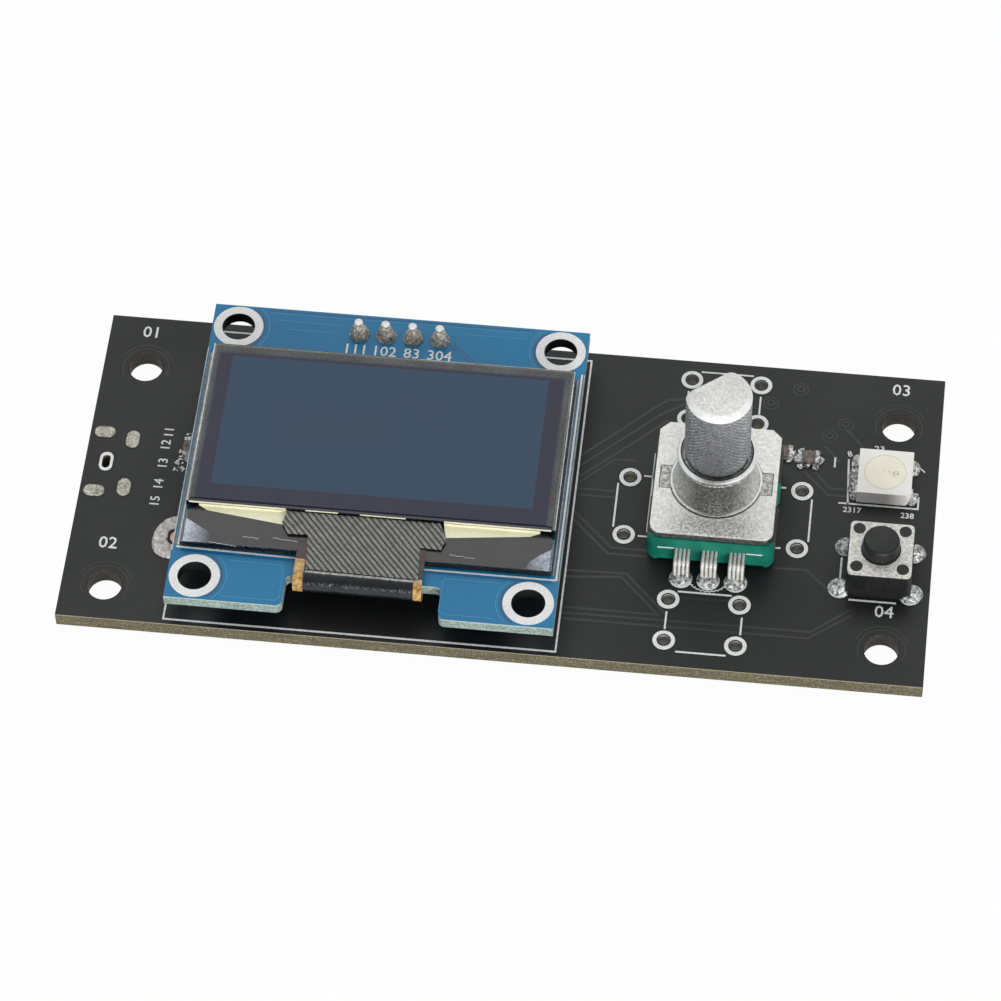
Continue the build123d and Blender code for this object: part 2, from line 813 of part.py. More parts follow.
def click_dome(radius, height, x, y, z):
    """A thin sprung dome that snaps down when it is pressed."""
    ball_radius = (radius ** 2 + height ** 2) / (2 * height)
    rim, middle, crown = cap_arc(radius, height, ball_radius)
    inner_rim, inner_middle, inner_crown = cap_arc(
        radius, height - dome_thickness, ball_radius - dome_thickness
    )
    outline = Line(inner_rim, rim) + ThreePointArc(rim, middle, crown)
    outline += Line(crown, inner_crown) + ThreePointArc(inner_crown, inner_middle, inner_rim)
    return Pos(x, y, z) * revolve(make_face(outline), Axis.Z)


# Heights in the button
button_base_top = board_top + button_base_height
button_stake_spacing = button_cover_side - 2 * button_stake_inset
button_stake_places = corner_places(button_stake_spacing, button_stake_spacing, button_x, button_y)
button_well_floor_z = board_top + button_well_floor
button_dome_height = 2 * button_travel
button_nub_under = button_well_floor + button_dome_height + dome_gap


def button_base():
    """The moulded base: a well for the dome and four stakes that rise through the cover."""
    base = block(button_side, button_side, button_base_height, button_x, button_y, board_top)
    base = chamfer(base.edges().filter_by(Axis.Z), button_corner)
    base -= peg(button_well_radius, button_base_height, button_x, button_y, button_well_floor_z)
    for x, y in button_stake_places:
        base += peg(button_stake_radius, button_cover_thickness + button_stake_height, x, y, button_base_top)
    for x, y in button_pin_places:
        base -= button_pin(x, y)
    return base


def button_pin(x, y):
    """One leg: out of the side of the base, down, and through the board."""
    side = 1 if x > button_x else -1
    thick = button_pin_thickness
    rise = board_top + button_pin_rise
    inside = button_x + side * (button_side / 2 - button_pin_inside)
    across = abs(x - inside) + thick / 2
    arm = block(across, button_pin_width, thick, inside + side * across / 2, y, rise - thick)
    low = board_under - button_tail
    return arm + block(thick, button_pin_width, rise - low, x, y, low)


def button_joints():
    joints = []
    for x, y in button_pin_places:
        joint = solder_mound(button_joint_radius, button_joint_height, x, y, board_top) + tail_joint(x, y)
        joint -= block(button_side, button_side, button_base_height, button_x, button_y, board_top)
        joints.append(joint - button_pin(x, y))
    return joints


def button_cover():
    """The steel cover plate, held down by the base's four stakes."""
    side = button_cover_side
    cover = block(side, side, button_cover_thickness, button_x, button_y, button_base_top)
    cover = fillet(cover.edges().filter_by(Axis.Z), button_cover_corner)
    for x, y in button_stake_places:
        cover -= peg(button_stake_radius, button_cover_thickness, x, y, button_base_top)
    bore = button_radius + button_clearance
    return cover - peg(bore, button_cover_thickness, button_x, button_y, button_base_top)


def button_plunger():
    """The plunger, with a shoulder that the cover keeps in and a nub on the dome."""
    shoulder_high = button_base_height - button_shoulder_gap
    shoulder_low = shoulder_high - button_shoulder_height
    shoulder_radius = button_well_radius - button_shoulder_clearance
    neck_top = button_base_height + button_cover_thickness + button_stake_height
    points = [
        (0, button_nub_under), (button_nub_radius, button_nub_under), (button_nub_radius, shoulder_low),
        (shoulder_radius, shoulder_low), (shoulder_radius, shoulder_high), (button_radius, shoulder_high),
        (button_radius, neck_top), (button_top_radius, button_height - button_edge),
        (button_top_radius - button_edge, button_height), (0, button_height),
    ]
    return turned(points, button_x, button_y, board_top)


lamp_floor = board_top + lamp_height - lamp_cup_depth
lamp_lead_places = [
    (lamp_x + i * lamp_side / 2, lamp_y + j * lamp_lead_offset, i) for j in (-1, 1) for i in (-1, 1)
]


def lamp_cup():
    cup = Cone(lamp_cup_floor_radius, lamp_cup_radius, lamp_cup_depth, align=bottom_aligned)
    return Pos(lamp_x, lamp_y, lamp_floor) * cup


def lamp_lead(x, y, side):
    """A folded lead: down the wall of the housing and in under it."""
    thick = lamp_lead_thickness
    wall = block(thick, lamp_lead_width, lamp_lead_rise, x + side * thick / 2, y, board_top)
    foot = block(lamp_lead_foot, lamp_lead_width, thick, x - side * lamp_lead_foot / 2, y, board_top)
    return wall + foot


def lamp_housing():
    housing = block(lamp_side, lamp_side, lamp_height, lamp_x, lamp_y, board_top)
    corner = housing.edges().filter_by(Axis.Z).group_by(Axis.X)[-1].sort_by(Axis.Y)[0]
    housing = chamfer(corner, lamp_corner)
    housing -= lamp_cup()
    for x, y, side in lamp_lead_places:
        housing -= lamp_lead(x, y, side)
    return housing


def lamp_dice():
    """Three light chips and their small driver on the floor of the cup."""
    driver_x = lamp_x - lamp_driver_shift
    die_x = lamp_x + lamp_die_shift
    dice = [block(lamp_driver_length, lamp_driver_width, lamp_driver_height, driver_x, lamp_y, lamp_floor)]
    for i in (-1, 0, 1):
        y = lamp_y + i * lamp_die_pitch
        dice.append(block(lamp_die_side, lamp_die_side, lamp_die_height, die_x, y, lamp_floor))
    return dice


def lamp_lens():
    lens = lamp_cup()
    for die in lamp_dice():
        lens -= die
    return lens


def chip_part(length, width, height, x, y, z, along_x=True):
    """One chip part: its body between its two metal ends."""
    pieces = [block(length - 2 * chip_end_length, width, height, 0, 0, 0)]
    for side in (-1, 1):
        pieces.append(block(chip_end_length, width, height, side * (length - chip_end_length) / 2, 0, 0))
    place = Pos(x, y, z) * Rot(0, 0, 0 if along_x else 90)
    return [place * piece for piece in pieces]


def large_chip(x, y, along_x=True):
    return chip_part(chip_large_length, chip_large_width, chip_large_height, x, y, board_top, along_x)


def small_chip(x, y, face_z):
    """A small chip that hangs under a board's lower face."""
    z = face_z - chip_small_height
    return chip_part(chip_small_length, chip_small_width, chip_small_height, x, y, z)


left_chip_x = display_left - left_chip_from_display
under_chip_start = (under_chip_columns - 1) / 2 * under_chip_pitch
display_chip_start = (display_chip_columns - 1) / 2 * display_chip_pitch
top_chips = [
    large_chip(encoder_x + right_chip_from_encoder_x, encoder_y + right_chip_from_encoder_y),
    large_chip(encoder_x + rear_chip_from_encoder_x, encoder_y + rear_chip_from_encoder_y),
    large_chip(left_chip_x, left_chip_y, along_x=False),
]
display_chips = [
    small_chip(
        display_chip_x - display_chip_start + display_chip_pitch * i,
        display_chip_y + display_chip_row_gap * side / 2,
        display_under,
    )
    for i in range(display_chip_columns)
    for side in (-1, 1)
]
under_chips = [
    small_chip(
        controller_x - under_chip_start + under_chip_pitch * i,
        controller_y + under_chip_reach * side,
        board_under,
    )
    for i in range(under_chip_columns)
    for side in (-1, 1)
]


def tinned_pad():
    """A domed pad of solder half under the display, with a bare spot in the middle."""
    height = tinned_pad_height
    radius = tinned_pad_radius
    points = [
        (copper_spot_radius, 0), (radius, 0), (radius - tinned_pad_edge, height * 0.6),
        (radius - tinned_pad_slope, height), (copper_spot_radius + copper_spot_lip, height),
        (copper_spot_radius, height / 2),
    ]
    return turned(points, tinned_pad_x, tinned_pad_y, board_top)


def copper_spot():
    return peg(copper_spot_radius, copper_spot_height, tinned_pad_x, tinned_pad_y, board_top)


def socket_outline(inset):
    """The shell's section in Y and Z: wide at the board, narrowed below by two slopes."""
    half = socket_width / 2 - inset
    high = board_under - inset
    low = inset
    slope = socket_corner
    return [
        (-half, high), (half, high), (half, low + slope), (half - slope, low),
        (-half + slope, low), (-half, low + slope),
    ]


def socket_shell():
    """The folded steel shell, open at the board's edge, with its four lugs."""
    shell = ribbon(socket_outline(0), socket_length, board_left + socket_length / 2, socket_y)
    cavity_length = socket_length - socket_wall
    shell -= ribbon(socket_outline(socket_wall), cavity_length, board_left + cavity_length / 2, socket_y)
    lug_height = board_thickness + socket_lug_proud
    for x, y in front_lug_places:
        shell += block(socket_lug_length, socket_wall, lug_height, x, y, board_under)
    for x, y in rear_lug_places:
        shell += block(socket_wall, socket_lug_length, lug_height, x, y, board_under)
    return shell


tongue_top = board_under - socket_wall - socket_tongue_drop
tongue_under = tongue_top - socket_tongue_thickness
insert_front_x = board_left + socket_length - socket_wall - socket_insert_length


def socket_tongue():
    """The moulded insert: a block at the back with a tongue that carries the contacts."""
    insert_x = insert_front_x + socket_insert_length / 2
    insert = ribbon(socket_outline(socket_wall + socket_insert_gap), socket_insert_length, insert_x, socket_y)
    length = insert_front_x - board_left - socket_tongue_inset
    x = insert_front_x - length / 2
    return insert + block(length, socket_tongue_width, socket_tongue_thickness, x, socket_y, tongue_under)


def socket_contacts():
    """Flat contacts on the tongue's lower face."""
    contacts = []
    x = board_left + socket_contact_inset + socket_contact_length / 2
    z = tongue_under - socket_contact_thickness
    for i in range(socket_contact_count):
        y = socket_y + (i - (socket_contact_count - 1) / 2) * socket_contact_pitch
        contacts.append(block(socket_contact_length, socket_contact_width, socket_contact_thickness, x, y, z))
    return contacts


def socket_joints():
    """Solder that fills the four lug slots and stands a little over the board's top."""
    joints = []
    lug_height = board_thickness + socket_lug_proud
    places = [(x, y, True) for x, y in front_lug_places] + [(x, y, False) for x, y in rear_lug_places]
    for x, y, along_x in places:
        joint = oval(socket_slot_length, socket_slot_width, board_thickness, x, y, board_under, along_x)
        cap = oval(socket_pad_length, socket_pad_width, socket_pad_height, x, y, board_top, along_x)
        joint += chamfer(cap.edges().group_by(Axis.Z)[-1], socket_pad_height * 0.6)
        lug_x = socket_lug_length if along_x else socket_wall
        lug_y = socket_wall if along_x else socket_lug_length
        joints.append(joint - block(lug_x, lug_y, lug_height, x, y, board_under))
    return joints


def gull_lead(x, y, side, width, body_half, body_height):
    """One lead: out of the body's side, down its slope and flat on the board's underside."""
    thick = lead_thickness
    middle = board_under - body_height / 2
    start = body_half
    end = body_half + lead_span
    knee = start + lead_span * 0.25
    foot = start + lead_span * 0.5
    points = [
        (start, middle), (knee + thick / 2, middle), (foot, board_under - thick),
        (end, board_under - thick), (end, board_under), (foot - thick / 2, board_under),
        (knee, middle + thick), (start, middle + thick),
    ]
    return ribbon([(side * across, up) for across, up in points], width, x, y)


def package_body(length, width, height, x, y):
    """A moulded package that hangs by its leads just under the board."""
    body = block(length, width, height, x, y, board_under - height - package_gap)
    return chamfer(body.edges().group_by(Axis.Z)[0], package_edge)


def controller_lead_set():
    leads = []
    per_side = controller_leads // 2
    half = controller_width / 2
    for i in range(per_side):
        x = controller_x + (i - (per_side - 1) / 2) * controller_pitch
        for side in (-1, 1):
            leads.append(gull_lead(x, controller_y, side, controller_lead_width, half, controller_height))
    return leads


def regulator_lead_set():
    leads = []
    half = regulator_width / 2
    for shift, side in ((-regulator_pitch, -1), (regulator_pitch, -1), (0, 1)):
        x = regulator_x + shift
        leads.append(gull_lead(x, regulator_y, side, regulator_lead_width, half, regulator_height))
    return leads


os.makedirs("parts", exist_ok=True)
save("main_board", main_board())
save("hole_rings", *hole_rings())
save("display_board", display_board())
save("display_rings", *display_rings())
save("glass_tape", glass_tape())
save("rear_glass", display_glass(rear_glass_depth, rear_glass_under))
save("front_glass", display_glass(front_glass_depth, rear_glass_top))
save("polariser", polariser())
save("driver_chip", driver_chip())
save("flex_cable", flex_cable())
save("cover_tape", cover_tape())
save("header_body", header_body())
save("header_pins", *header_pin_set())
save("header_joints_top", *header_joints_top())
save("header_joints_under", *header_joints_under())
save("display_chip_bodies", *[chip[0] for chip in display_chips])
save("display_chip_ends", *[end for chip in display_chips for end in chip[1:]])

save("encoder_base", encoder_base())
save("encoder_bracket", encoder_bracket())
save("encoder_bushing", encoder_bushing())
save("encoder_shaft", encoder_shaft())
save("encoder_rotor", encoder_rotor())
save("detent_spring", detent_spring())
save("encoder_dome", click_dome(encoder_dome_radius, encoder_dome_height, encoder_x, encoder_y, dome_seat))
save("encoder_front_terminals", *[terminal_strip(x, y) for x, y in encoder_front_places])
save("encoder_rear_terminals", *[terminal_strip(x, y) for x, y in encoder_rear_places])
save("encoder_joints", *encoder_joints())

save("button_base", button_base())
save("button_cover", button_cover())
save("button_plunger", button_plunger())
save("button_dome", click_dome(
    button_dome_radius, button_dome_height, button_x, button_y, button_well_floor_z
))
save("button_pins", *[button_pin(x, y) for x, y in button_pin_places])
save("button_joints", *button_joints())

save("lamp_housing", lamp_housing())
save("lamp_lens", lamp_lens())
save("lamp_dice", *lamp_dice())
save("lamp_leads", *[lamp_lead(x, y, side) for x, y, side in lamp_lead_places])

save("top_chip_bodies", *[chip[0] for chip in top_chips])
save("top_chip_ends", *[end for chip in top_chips for end in chip[1:]])
save("tinned_pad", tinned_pad())
save("copper_spot", copper_spot())

save("socket_shell", socket_shell())
save("socket_tongue", socket_tongue())
save("socket_contacts", *socket_contacts())
save("socket_joints", *socket_joints())
save("controller_body", package_body(
    controller_length, controller_width, controller_height, controller_x, controller_y
))
save("controller_leads", *controller_lead_set())
save("regulator_body", package_body(
    regulator_length, regulator_width, regulator_height, regulator_x, regulator_y
))
save("regulator_leads", *regulator_lead_set())
save("under_chip_bodies", *[chip[0] for chip in under_chips])
save("under_chip_ends", *[end for chip in under_chips for end in chip[1:]])
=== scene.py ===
import math

import bmesh
import bpy
from mathutils import Matrix, Vector, noise


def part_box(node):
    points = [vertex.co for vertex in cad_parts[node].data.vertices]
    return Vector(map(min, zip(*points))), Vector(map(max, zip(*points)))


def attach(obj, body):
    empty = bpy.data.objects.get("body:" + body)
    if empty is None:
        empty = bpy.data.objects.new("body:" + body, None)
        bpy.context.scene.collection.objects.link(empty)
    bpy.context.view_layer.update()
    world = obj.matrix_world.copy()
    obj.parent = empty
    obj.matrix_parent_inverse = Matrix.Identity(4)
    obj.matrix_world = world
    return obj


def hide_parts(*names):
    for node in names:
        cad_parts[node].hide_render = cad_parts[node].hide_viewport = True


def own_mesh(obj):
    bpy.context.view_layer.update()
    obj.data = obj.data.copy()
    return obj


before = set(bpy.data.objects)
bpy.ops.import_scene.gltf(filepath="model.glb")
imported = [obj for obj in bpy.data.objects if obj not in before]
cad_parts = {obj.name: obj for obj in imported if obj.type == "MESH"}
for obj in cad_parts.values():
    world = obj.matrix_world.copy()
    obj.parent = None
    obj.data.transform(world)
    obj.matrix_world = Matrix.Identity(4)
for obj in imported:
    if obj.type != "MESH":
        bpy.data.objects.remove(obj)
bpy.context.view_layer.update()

MM = 0.001
stage_collection = bpy.context.scene.collection

# The camera stands where the photograph was taken from. The floor is a plain white disc that
# keeps the part's shadow, under an even sky and two soft boxes, one behind and one in front.
camera_data = bpy.data.cameras.new("camera")
camera_data.sensor_width = 36
camera_data.lens = 176.326
camera_data.clip_start = 0.01
camera_data.clip_end = 20
camera = bpy.data.objects.new("camera", camera_data)
camera.location = (0.033681, -0.260781, 0.373087)
camera.rotation_euler = [math.radians(angle) for angle in (35.414417, 0.825092, 6.329982)]
stage_collection.objects.link(camera)
bpy.context.scene.camera = camera
bpy.context.scene.view_settings.view_transform = "Standard"


def add_node(tree, kind, inputs=(), **settings):
    """Add a node. An input that is given a socket is linked to it, any other takes the value."""
    made = tree.nodes.new(kind)
    for name, value in settings.items():
        setattr(made, name, value)
    for name, value in dict(inputs).items():
        if isinstance(value, bpy.types.NodeSocket):
            tree.links.new(value, made.inputs[name])
        else:
            made.inputs[name].default_value = value
    return made


def calculate(tree, operation, *values, **settings):
    """The result of a sum on sockets and numbers."""
    return add_node(
        tree, "ShaderNodeMath", dict(enumerate(values)), operation=operation, **settings,
    ).outputs[0]


def split(tree, vector):
    """The X, Y and Z parts of a vector."""
    return add_node(tree, "ShaderNodeSeparateXYZ", {"Vector": vector}).outputs


world = bpy.data.worlds.new("sky")
world.use_nodes = True
bpy.context.scene.world = world
sky = world.node_tree
sky.nodes.clear()
direction = add_node(sky, "ShaderNodeTexCoord").outputs["Generated"]
turned_sky = add_node(sky, "ShaderNodeMapping", {"Vector": direction, "Rotation": (math.radians(38), 0, 0)})
sky_height = split(sky, turned_sky.outputs["Vector"])["Z"]
sky_ramp = add_node(sky, "ShaderNodeValToRGB", {"Fac": sky_height})
sky_ramp.color_ramp.elements[0].position = 0.15
sky_ramp.color_ramp.elements[0].color = (0.42, 0.43, 0.45, 1)
sky_ramp.color_ramp.elements[1].position = 0.9
sky_ramp.color_ramp.elements[1].color = (0.86, 0.87, 0.88, 1)
sky_light = add_node(sky, "ShaderNodeBackground", {"Color": sky_ramp.outputs["Color"], "Strength": 0.85})
add_node(sky, "ShaderNodeOutputWorld", {"Surface": sky_light.outputs["Background"]})


def add_softbox(name, place, width, depth, power):
    """A soft box that faces the part."""
    lamp = bpy.data.lights.new(name, "AREA")
    lamp.shape = "RECTANGLE"
    lamp.size = width
    lamp.size_y = depth
    lamp.energy = power
    holder = bpy.data.objects.new(name, lamp)
    holder.location = place
    holder.rotation_euler = (-Vector(place)).to_track_quat("-Z", "Y").to_euler()
    stage_collection.objects.link(holder)


add_softbox("back_softbox", (-0.12, 0.55, 0.75), 0.8, 0.5, 1.5)
add_softbox("front_softbox", (0.25, -0.85, 0.2), 0.5, 0.3, 6.0)

floor_paint = bpy.data.materials.new("floor_paint")
floor_paint.use_nodes = True
floor_tree = floor_paint.node_tree
floor_tree.nodes.clear()
matt = add_node(floor_tree, "ShaderNodeBsdfDiffuse", {"Color": (0.92, 0.92, 0.92, 1)})
glow = add_node(floor_tree, "ShaderNodeEmission", {"Color": (1, 1, 1, 1), "Strength": 1.0})
rays = add_node(floor_tree, "ShaderNodeLightPath").outputs
mirrored = calculate(floor_tree, "MAXIMUM", rays["Is Camera Ray"], rays["Is Glossy Ray"])
seen = calculate(floor_tree, "MAXIMUM", mirrored, rays["Is Transmission Ray"])
glow_share = calculate(floor_tree, "MULTIPLY", seen, 0.97)
floor_mix = add_node(floor_tree, "ShaderNodeMixShader", {
    0: glow_share, 1: matt.outputs[0], 2: glow.outputs[0]})
add_node(floor_tree, "ShaderNodeOutputMaterial", {"Surface": floor_mix.outputs[0]})

floor_shape = bmesh.new()
bmesh.ops.create_circle(floor_shape, cap_ends=True, radius=4, segments=128)
floor_mesh = bpy.data.meshes.new("floor")
floor_shape.to_mesh(floor_mesh)
floor_shape.free()
floor_mesh.materials.append(floor_paint)
floor = bpy.data.objects.new("floor", floor_mesh)
stage_collection.objects.link(floor)

# The main board is a black-masked glass-fibre board, 1.6 mm thick, routed to shape. Its cut
# edges and bare holes show olive-brown laminate, and its copper lies under the mask.
board_low, board_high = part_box("main_board")
board_top = board_high.z / MM
board_under = board_low.z / MM


def paint(code):
    """A colour from its web code, as the linear values that a shader takes."""
    parts = [int(code[i:i + 2], 16) / 255 for i in (0, 2, 4)]
    return [part / 12.92 if part <= 0.04045 else ((part + 0.055) / 1.055) ** 2.4 for part in parts] + [1]


def add_group(name, inputs, outputs):
    """A shader group with its named sockets, and its two end nodes."""
    group = bpy.data.node_groups.new(name, "ShaderNodeTree")
    for socket, kind, value in inputs:
        made = group.interface.new_socket(socket, in_out="INPUT", socket_type=kind)
        if value is not None:
            made.default_value = value
    for socket, kind in outputs:
        group.interface.new_socket(socket, in_out="OUTPUT", socket_type=kind)
    return group, group.nodes.new("NodeGroupInput"), group.nodes.new("NodeGroupOutput")


def stretch(tree, value, low, high):
    """Spread what lies between two values over the range from 0 to 1."""
    return add_node(
        tree, "ShaderNodeMapRange", {"Value": value, "From Min": low, "From Max": high},
    ).outputs[0]


# Mottle: a slow cloud between two colours, and a fine grain that shades the roughness and the relief
mottle, mottle_in, mottle_out = add_group("mottle", [
    ("Vector", "NodeSocketVector", None), ("Dark", "NodeSocketColor", None),
    ("Light", "NodeSocketColor", None), ("Cloud", "NodeSocketFloat", 300.0),
    ("Grain", "NodeSocketFloat", 6000.0), ("Share", "NodeSocketFloat", 0.3),
    ("Smooth", "NodeSocketFloat", 0.4), ("Rough", "NodeSocketFloat", 0.6),
    ("Relief", "NodeSocketFloat", 0.00001),
], [("Color", "NodeSocketColor"), ("Roughness", "NodeSocketFloat"), ("Normal", "NodeSocketVector")])
cloud = add_node(mottle, "ShaderNodeTexNoise", {
    "Vector": mottle_in.outputs["Vector"], "Scale": mottle_in.outputs["Cloud"], "Detail": 3.0})
grain = add_node(mottle, "ShaderNodeTexNoise", {
    "Vector": mottle_in.outputs["Vector"], "Scale": mottle_in.outputs["Grain"], "Detail": 2.0})
wide_cloud = stretch(mottle, cloud.outputs["Fac"], 0.3, 0.7)
wide_grain = stretch(mottle, grain.outputs["Fac"], 0.3, 0.7)
share = add_node(mottle, "ShaderNodeMix", {
    0: mottle_in.outputs["Share"], 2: wide_cloud, 3: wide_grain})
shade = add_node(mottle, "ShaderNodeMix", {
    0: share.outputs[0], 6: mottle_in.outputs["Dark"], 7: mottle_in.outputs["Light"]}, data_type="RGBA")
gloss = add_node(mottle, "ShaderNodeMix", {
    0: share.outputs[0], 2: mottle_in.outputs["Smooth"], 3: mottle_in.outputs["Rough"]})
relief = add_node(mottle, "ShaderNodeBump", {
    "Strength": 1.0, "Distance": mottle_in.outputs["Relief"], "Height": wide_grain})
mottle.links.new(shade.outputs[2], mottle_out.inputs["Color"])
mottle.links.new(gloss.outputs[0], mottle_out.inputs["Roughness"])
mottle.links.new(relief.outputs["Normal"], mottle_out.inputs["Normal"])

# Band: a mask of what lies between two places along one axis, its two ends softened
band, band_in, band_out = add_group("band", [
    ("Value", "NodeSocketFloat", 0.0), ("Low", "NodeSocketFloat", 0.0), ("High", "NodeSocketFloat", 1.0),
    ("Soft", "NodeSocketFloat", 0.00002),
], [("Mask", "NodeSocketFloat")])
past_low = calculate(band, "SUBTRACT", band_in.outputs["Value"], band_in.outputs["Low"])
before_high = calculate(band, "SUBTRACT", band_in.outputs["High"], band_in.outputs["Value"])
nearest = calculate(band, "MINIMUM", past_low, before_high)
softened = calculate(band, "DIVIDE", nearest, band_in.outputs["Soft"])
centred_mask = calculate(band, "ADD", softened, 0.5, use_clamp=True)
band.links.new(centred_mask, band_out.inputs["Mask"])

# Laminate: the cut edge of a glass-fibre board, thin layers with chipped fibres
laminate, laminate_in, laminate_out = add_group("laminate", [
    ("Vector", "NodeSocketVector", None), ("Resin", "NodeSocketColor", None),
    ("Fibre", "NodeSocketColor", None),
], [("Color", "NodeSocketColor"), ("Height", "NodeSocketFloat")])
flat_layers = add_node(
    laminate, "ShaderNodeMapping", {"Vector": laminate_in.outputs["Vector"], "Scale": (500, 500, 7000)},
)
layers = add_node(
    laminate, "ShaderNodeTexNoise", {"Vector": flat_layers.outputs["Vector"], "Scale": 1.0, "Detail": 4.0},
)
chips = add_node(laminate, "ShaderNodeTexVoronoi", {"Vector": laminate_in.outputs["Vector"], "Scale": 5200.0})
layer_mix = calculate(laminate, "MULTIPLY", layers.outputs["Fac"], chips.outputs["Distance"])
layer_mask = stretch(laminate, layer_mix, 0.1, 0.45)
layer_shade = add_node(laminate, "ShaderNodeMix", {
    0: layer_mask, 6: laminate_in.outputs["Resin"], 7: laminate_in.outputs["Fibre"]}, data_type="RGBA")
laminate.links.new(layer_shade.outputs[2], laminate_out.inputs["Color"])
laminate.links.new(layer_mask, laminate_out.inputs["Height"])


def start_material(name):
    """A new material: its tree, its Principled shader and its Object coordinates."""
    material = bpy.data.materials.new(name)
    material.use_nodes = True
    tree = material.node_tree
    place = add_node(tree, "ShaderNodeTexCoord").outputs["Object"]
    return material, tree, tree.nodes["Principled BSDF"], place


def fill(tree, group, inputs):
    """A group's node, its inputs linked or set."""
    return add_node(tree, "ShaderNodeGroup", inputs, node_tree=group)


def add_mottle(tree, place, dark, light, **values):
    inputs = {"Vector": place, "Dark": paint(dark), "Light": paint(light)}
    inputs.update({name.title(): value for name, value in values.items()})
    return fill(tree, mottle, inputs).outputs


def add_band(tree, value, low_mm, high_mm, soft_mm=0.02):
    inputs = {"Value": value, "Low": low_mm * MM, "High": high_mm * MM, "Soft": soft_mm * MM}
    return fill(tree, band, inputs).outputs["Mask"]


def both(tree, first, second):
    return calculate(tree, "MULTIPLY", first, second)


def blend_colours(tree, mask, under, over):
    return add_node(tree, "ShaderNodeMix", {0: mask, 6: under, 7: over}, data_type="RGBA").outputs[2]


def blend_values(tree, mask, under, over):
    return add_node(tree, "ShaderNodeMix", {0: mask, 2: under, 3: over}).outputs[0]


def add_relief(tree, height, normal, depth_mm):
    inputs = {"Strength": 1.0, "Distance": depth_mm * MM, "Height": height, "Normal": normal}
    return add_node(tree, "ShaderNodeBump", inputs).outputs["Normal"]


def finish_material(tree, shader, colour, roughness, normal, metallic=0.0):
    tree.links.new(colour, shader.inputs["Base Color"])
    tree.links.new(roughness, shader.inputs["Roughness"])
    tree.links.new(normal, shader.inputs["Normal"])
    shader.inputs["Metallic"].default_value = metallic


def board_material(name, top_mm, under_mm, mask_dark, mask_light, resin, fibre, rim, smooth, rough, specular):
    """A masked board: mask on its two faces, laminate between them, and a pale line at the rim that is a
    painted highlight.
    """
    material, tree, shader, place = start_material(name)
    skin = add_mottle(
        tree, place, mask_dark, mask_light, cloud=90, grain=3800, share=0.25, smooth=smooth, rough=rough,
        relief=4e-6,
    )
    core = fill(tree, laminate, {"Vector": place, "Resin": paint(resin), "Fibre": paint(fibre)}).outputs
    level = split(tree, place)["Z"]
    side = add_band(tree, level, under_mm + 0.02, top_mm - 0.02, 0.005)
    # A pale band just under the top edge of the cut side: a painted highlight.
    painted_rim_highlight = add_band(tree, level, top_mm - 0.14, top_mm - 0.02)
    edge = blend_colours(tree, painted_rim_highlight, core["Color"], paint(rim))
    colour = blend_colours(tree, side, skin["Color"], edge)
    roughness = blend_values(tree, side, skin["Roughness"], 0.75)
    normal = add_relief(tree, both(tree, core["Height"], side), skin["Normal"], 0.03)
    finish_material(tree, shader, colour, roughness, normal)
    shader.inputs["Specular IOR Level"].default_value = specular
    return material


def dress(material, *nodes):
    """Give CAD nodes their material."""
    for name in nodes:
        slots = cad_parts[name].material_slots
        if slots:
            for slot in slots:
                slot.material = material
        else:
            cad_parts[name].data.materials.append(material)


black_board = board_material(
    "black_board", board_top, board_under, "101011", "181819", "45412f", "7b7559", "98927a", 0.42, 0.56, 0.42
)
dress(black_board, "main_board")

# Copper under the mask lifts it a little, so each trace catches the light. The tented vias and
# two faint arcs round each mounting hole are made in the same way.
traces = bmesh.new()


def mottled_material(name, dark, light, metallic=0.0, **values):
    """A plain finish whose colour, roughness and relief all vary over the surface."""
    material, tree, shader, place = start_material(name)
    skin = add_mottle(tree, place, dark, light, **values)
    finish_material(tree, shader, skin["Color"], skin["Roughness"], skin["Normal"], metallic)
    return material


def add_piece(name, shape, material, body="root", smooth_angle=None):
    """Make a piece from a bmesh that is in place, and fix it to a body."""
    mesh = bpy.data.meshes.new(name)
    bmesh.ops.recalc_face_normals(shape, faces=shape.faces)
    shape.to_mesh(mesh)
    shape.free()
    if smooth_angle is not None:
        mesh.polygons.foreach_set("use_smooth", [True] * len(mesh.polygons))
        mesh.set_sharp_from_angle(angle=math.radians(smooth_angle))
    mesh.materials.append(material)
    piece = bpy.data.objects.new(name, mesh)
    stage_collection.objects.link(piece)
    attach(piece, body)
    return piece


def add_block(shape, length, width, height, x, y, z, turn=0.0):
    """A block that stands on the level z, its middle at the place given, all in millimetres."""
    place = Matrix.Translation((x, y, z + height / 2)) @ Matrix.Rotation(math.radians(turn), 4, "Z")
    size = Matrix.Diagonal((length, width, height, 1))
    bmesh.ops.create_cube(shape, size=1, matrix=Matrix.Scale(MM, 4) @ place @ size)


def add_path(shape, places, width, height, z):
    """Flat bars from place to place, each second one a hair higher, so none lie in one plane."""
    for i, (start, end) in enumerate(zip(places, places[1:])):
        run = Vector(end) - Vector(start)
        middle = (Vector(start) + Vector(end)) / 2
        turn = math.degrees(math.atan2(run.y, run.x))
        add_block(shape, run.length + width, width, height * (1 + 0.1 * (i % 2)), middle.x, middle.y, z, turn)


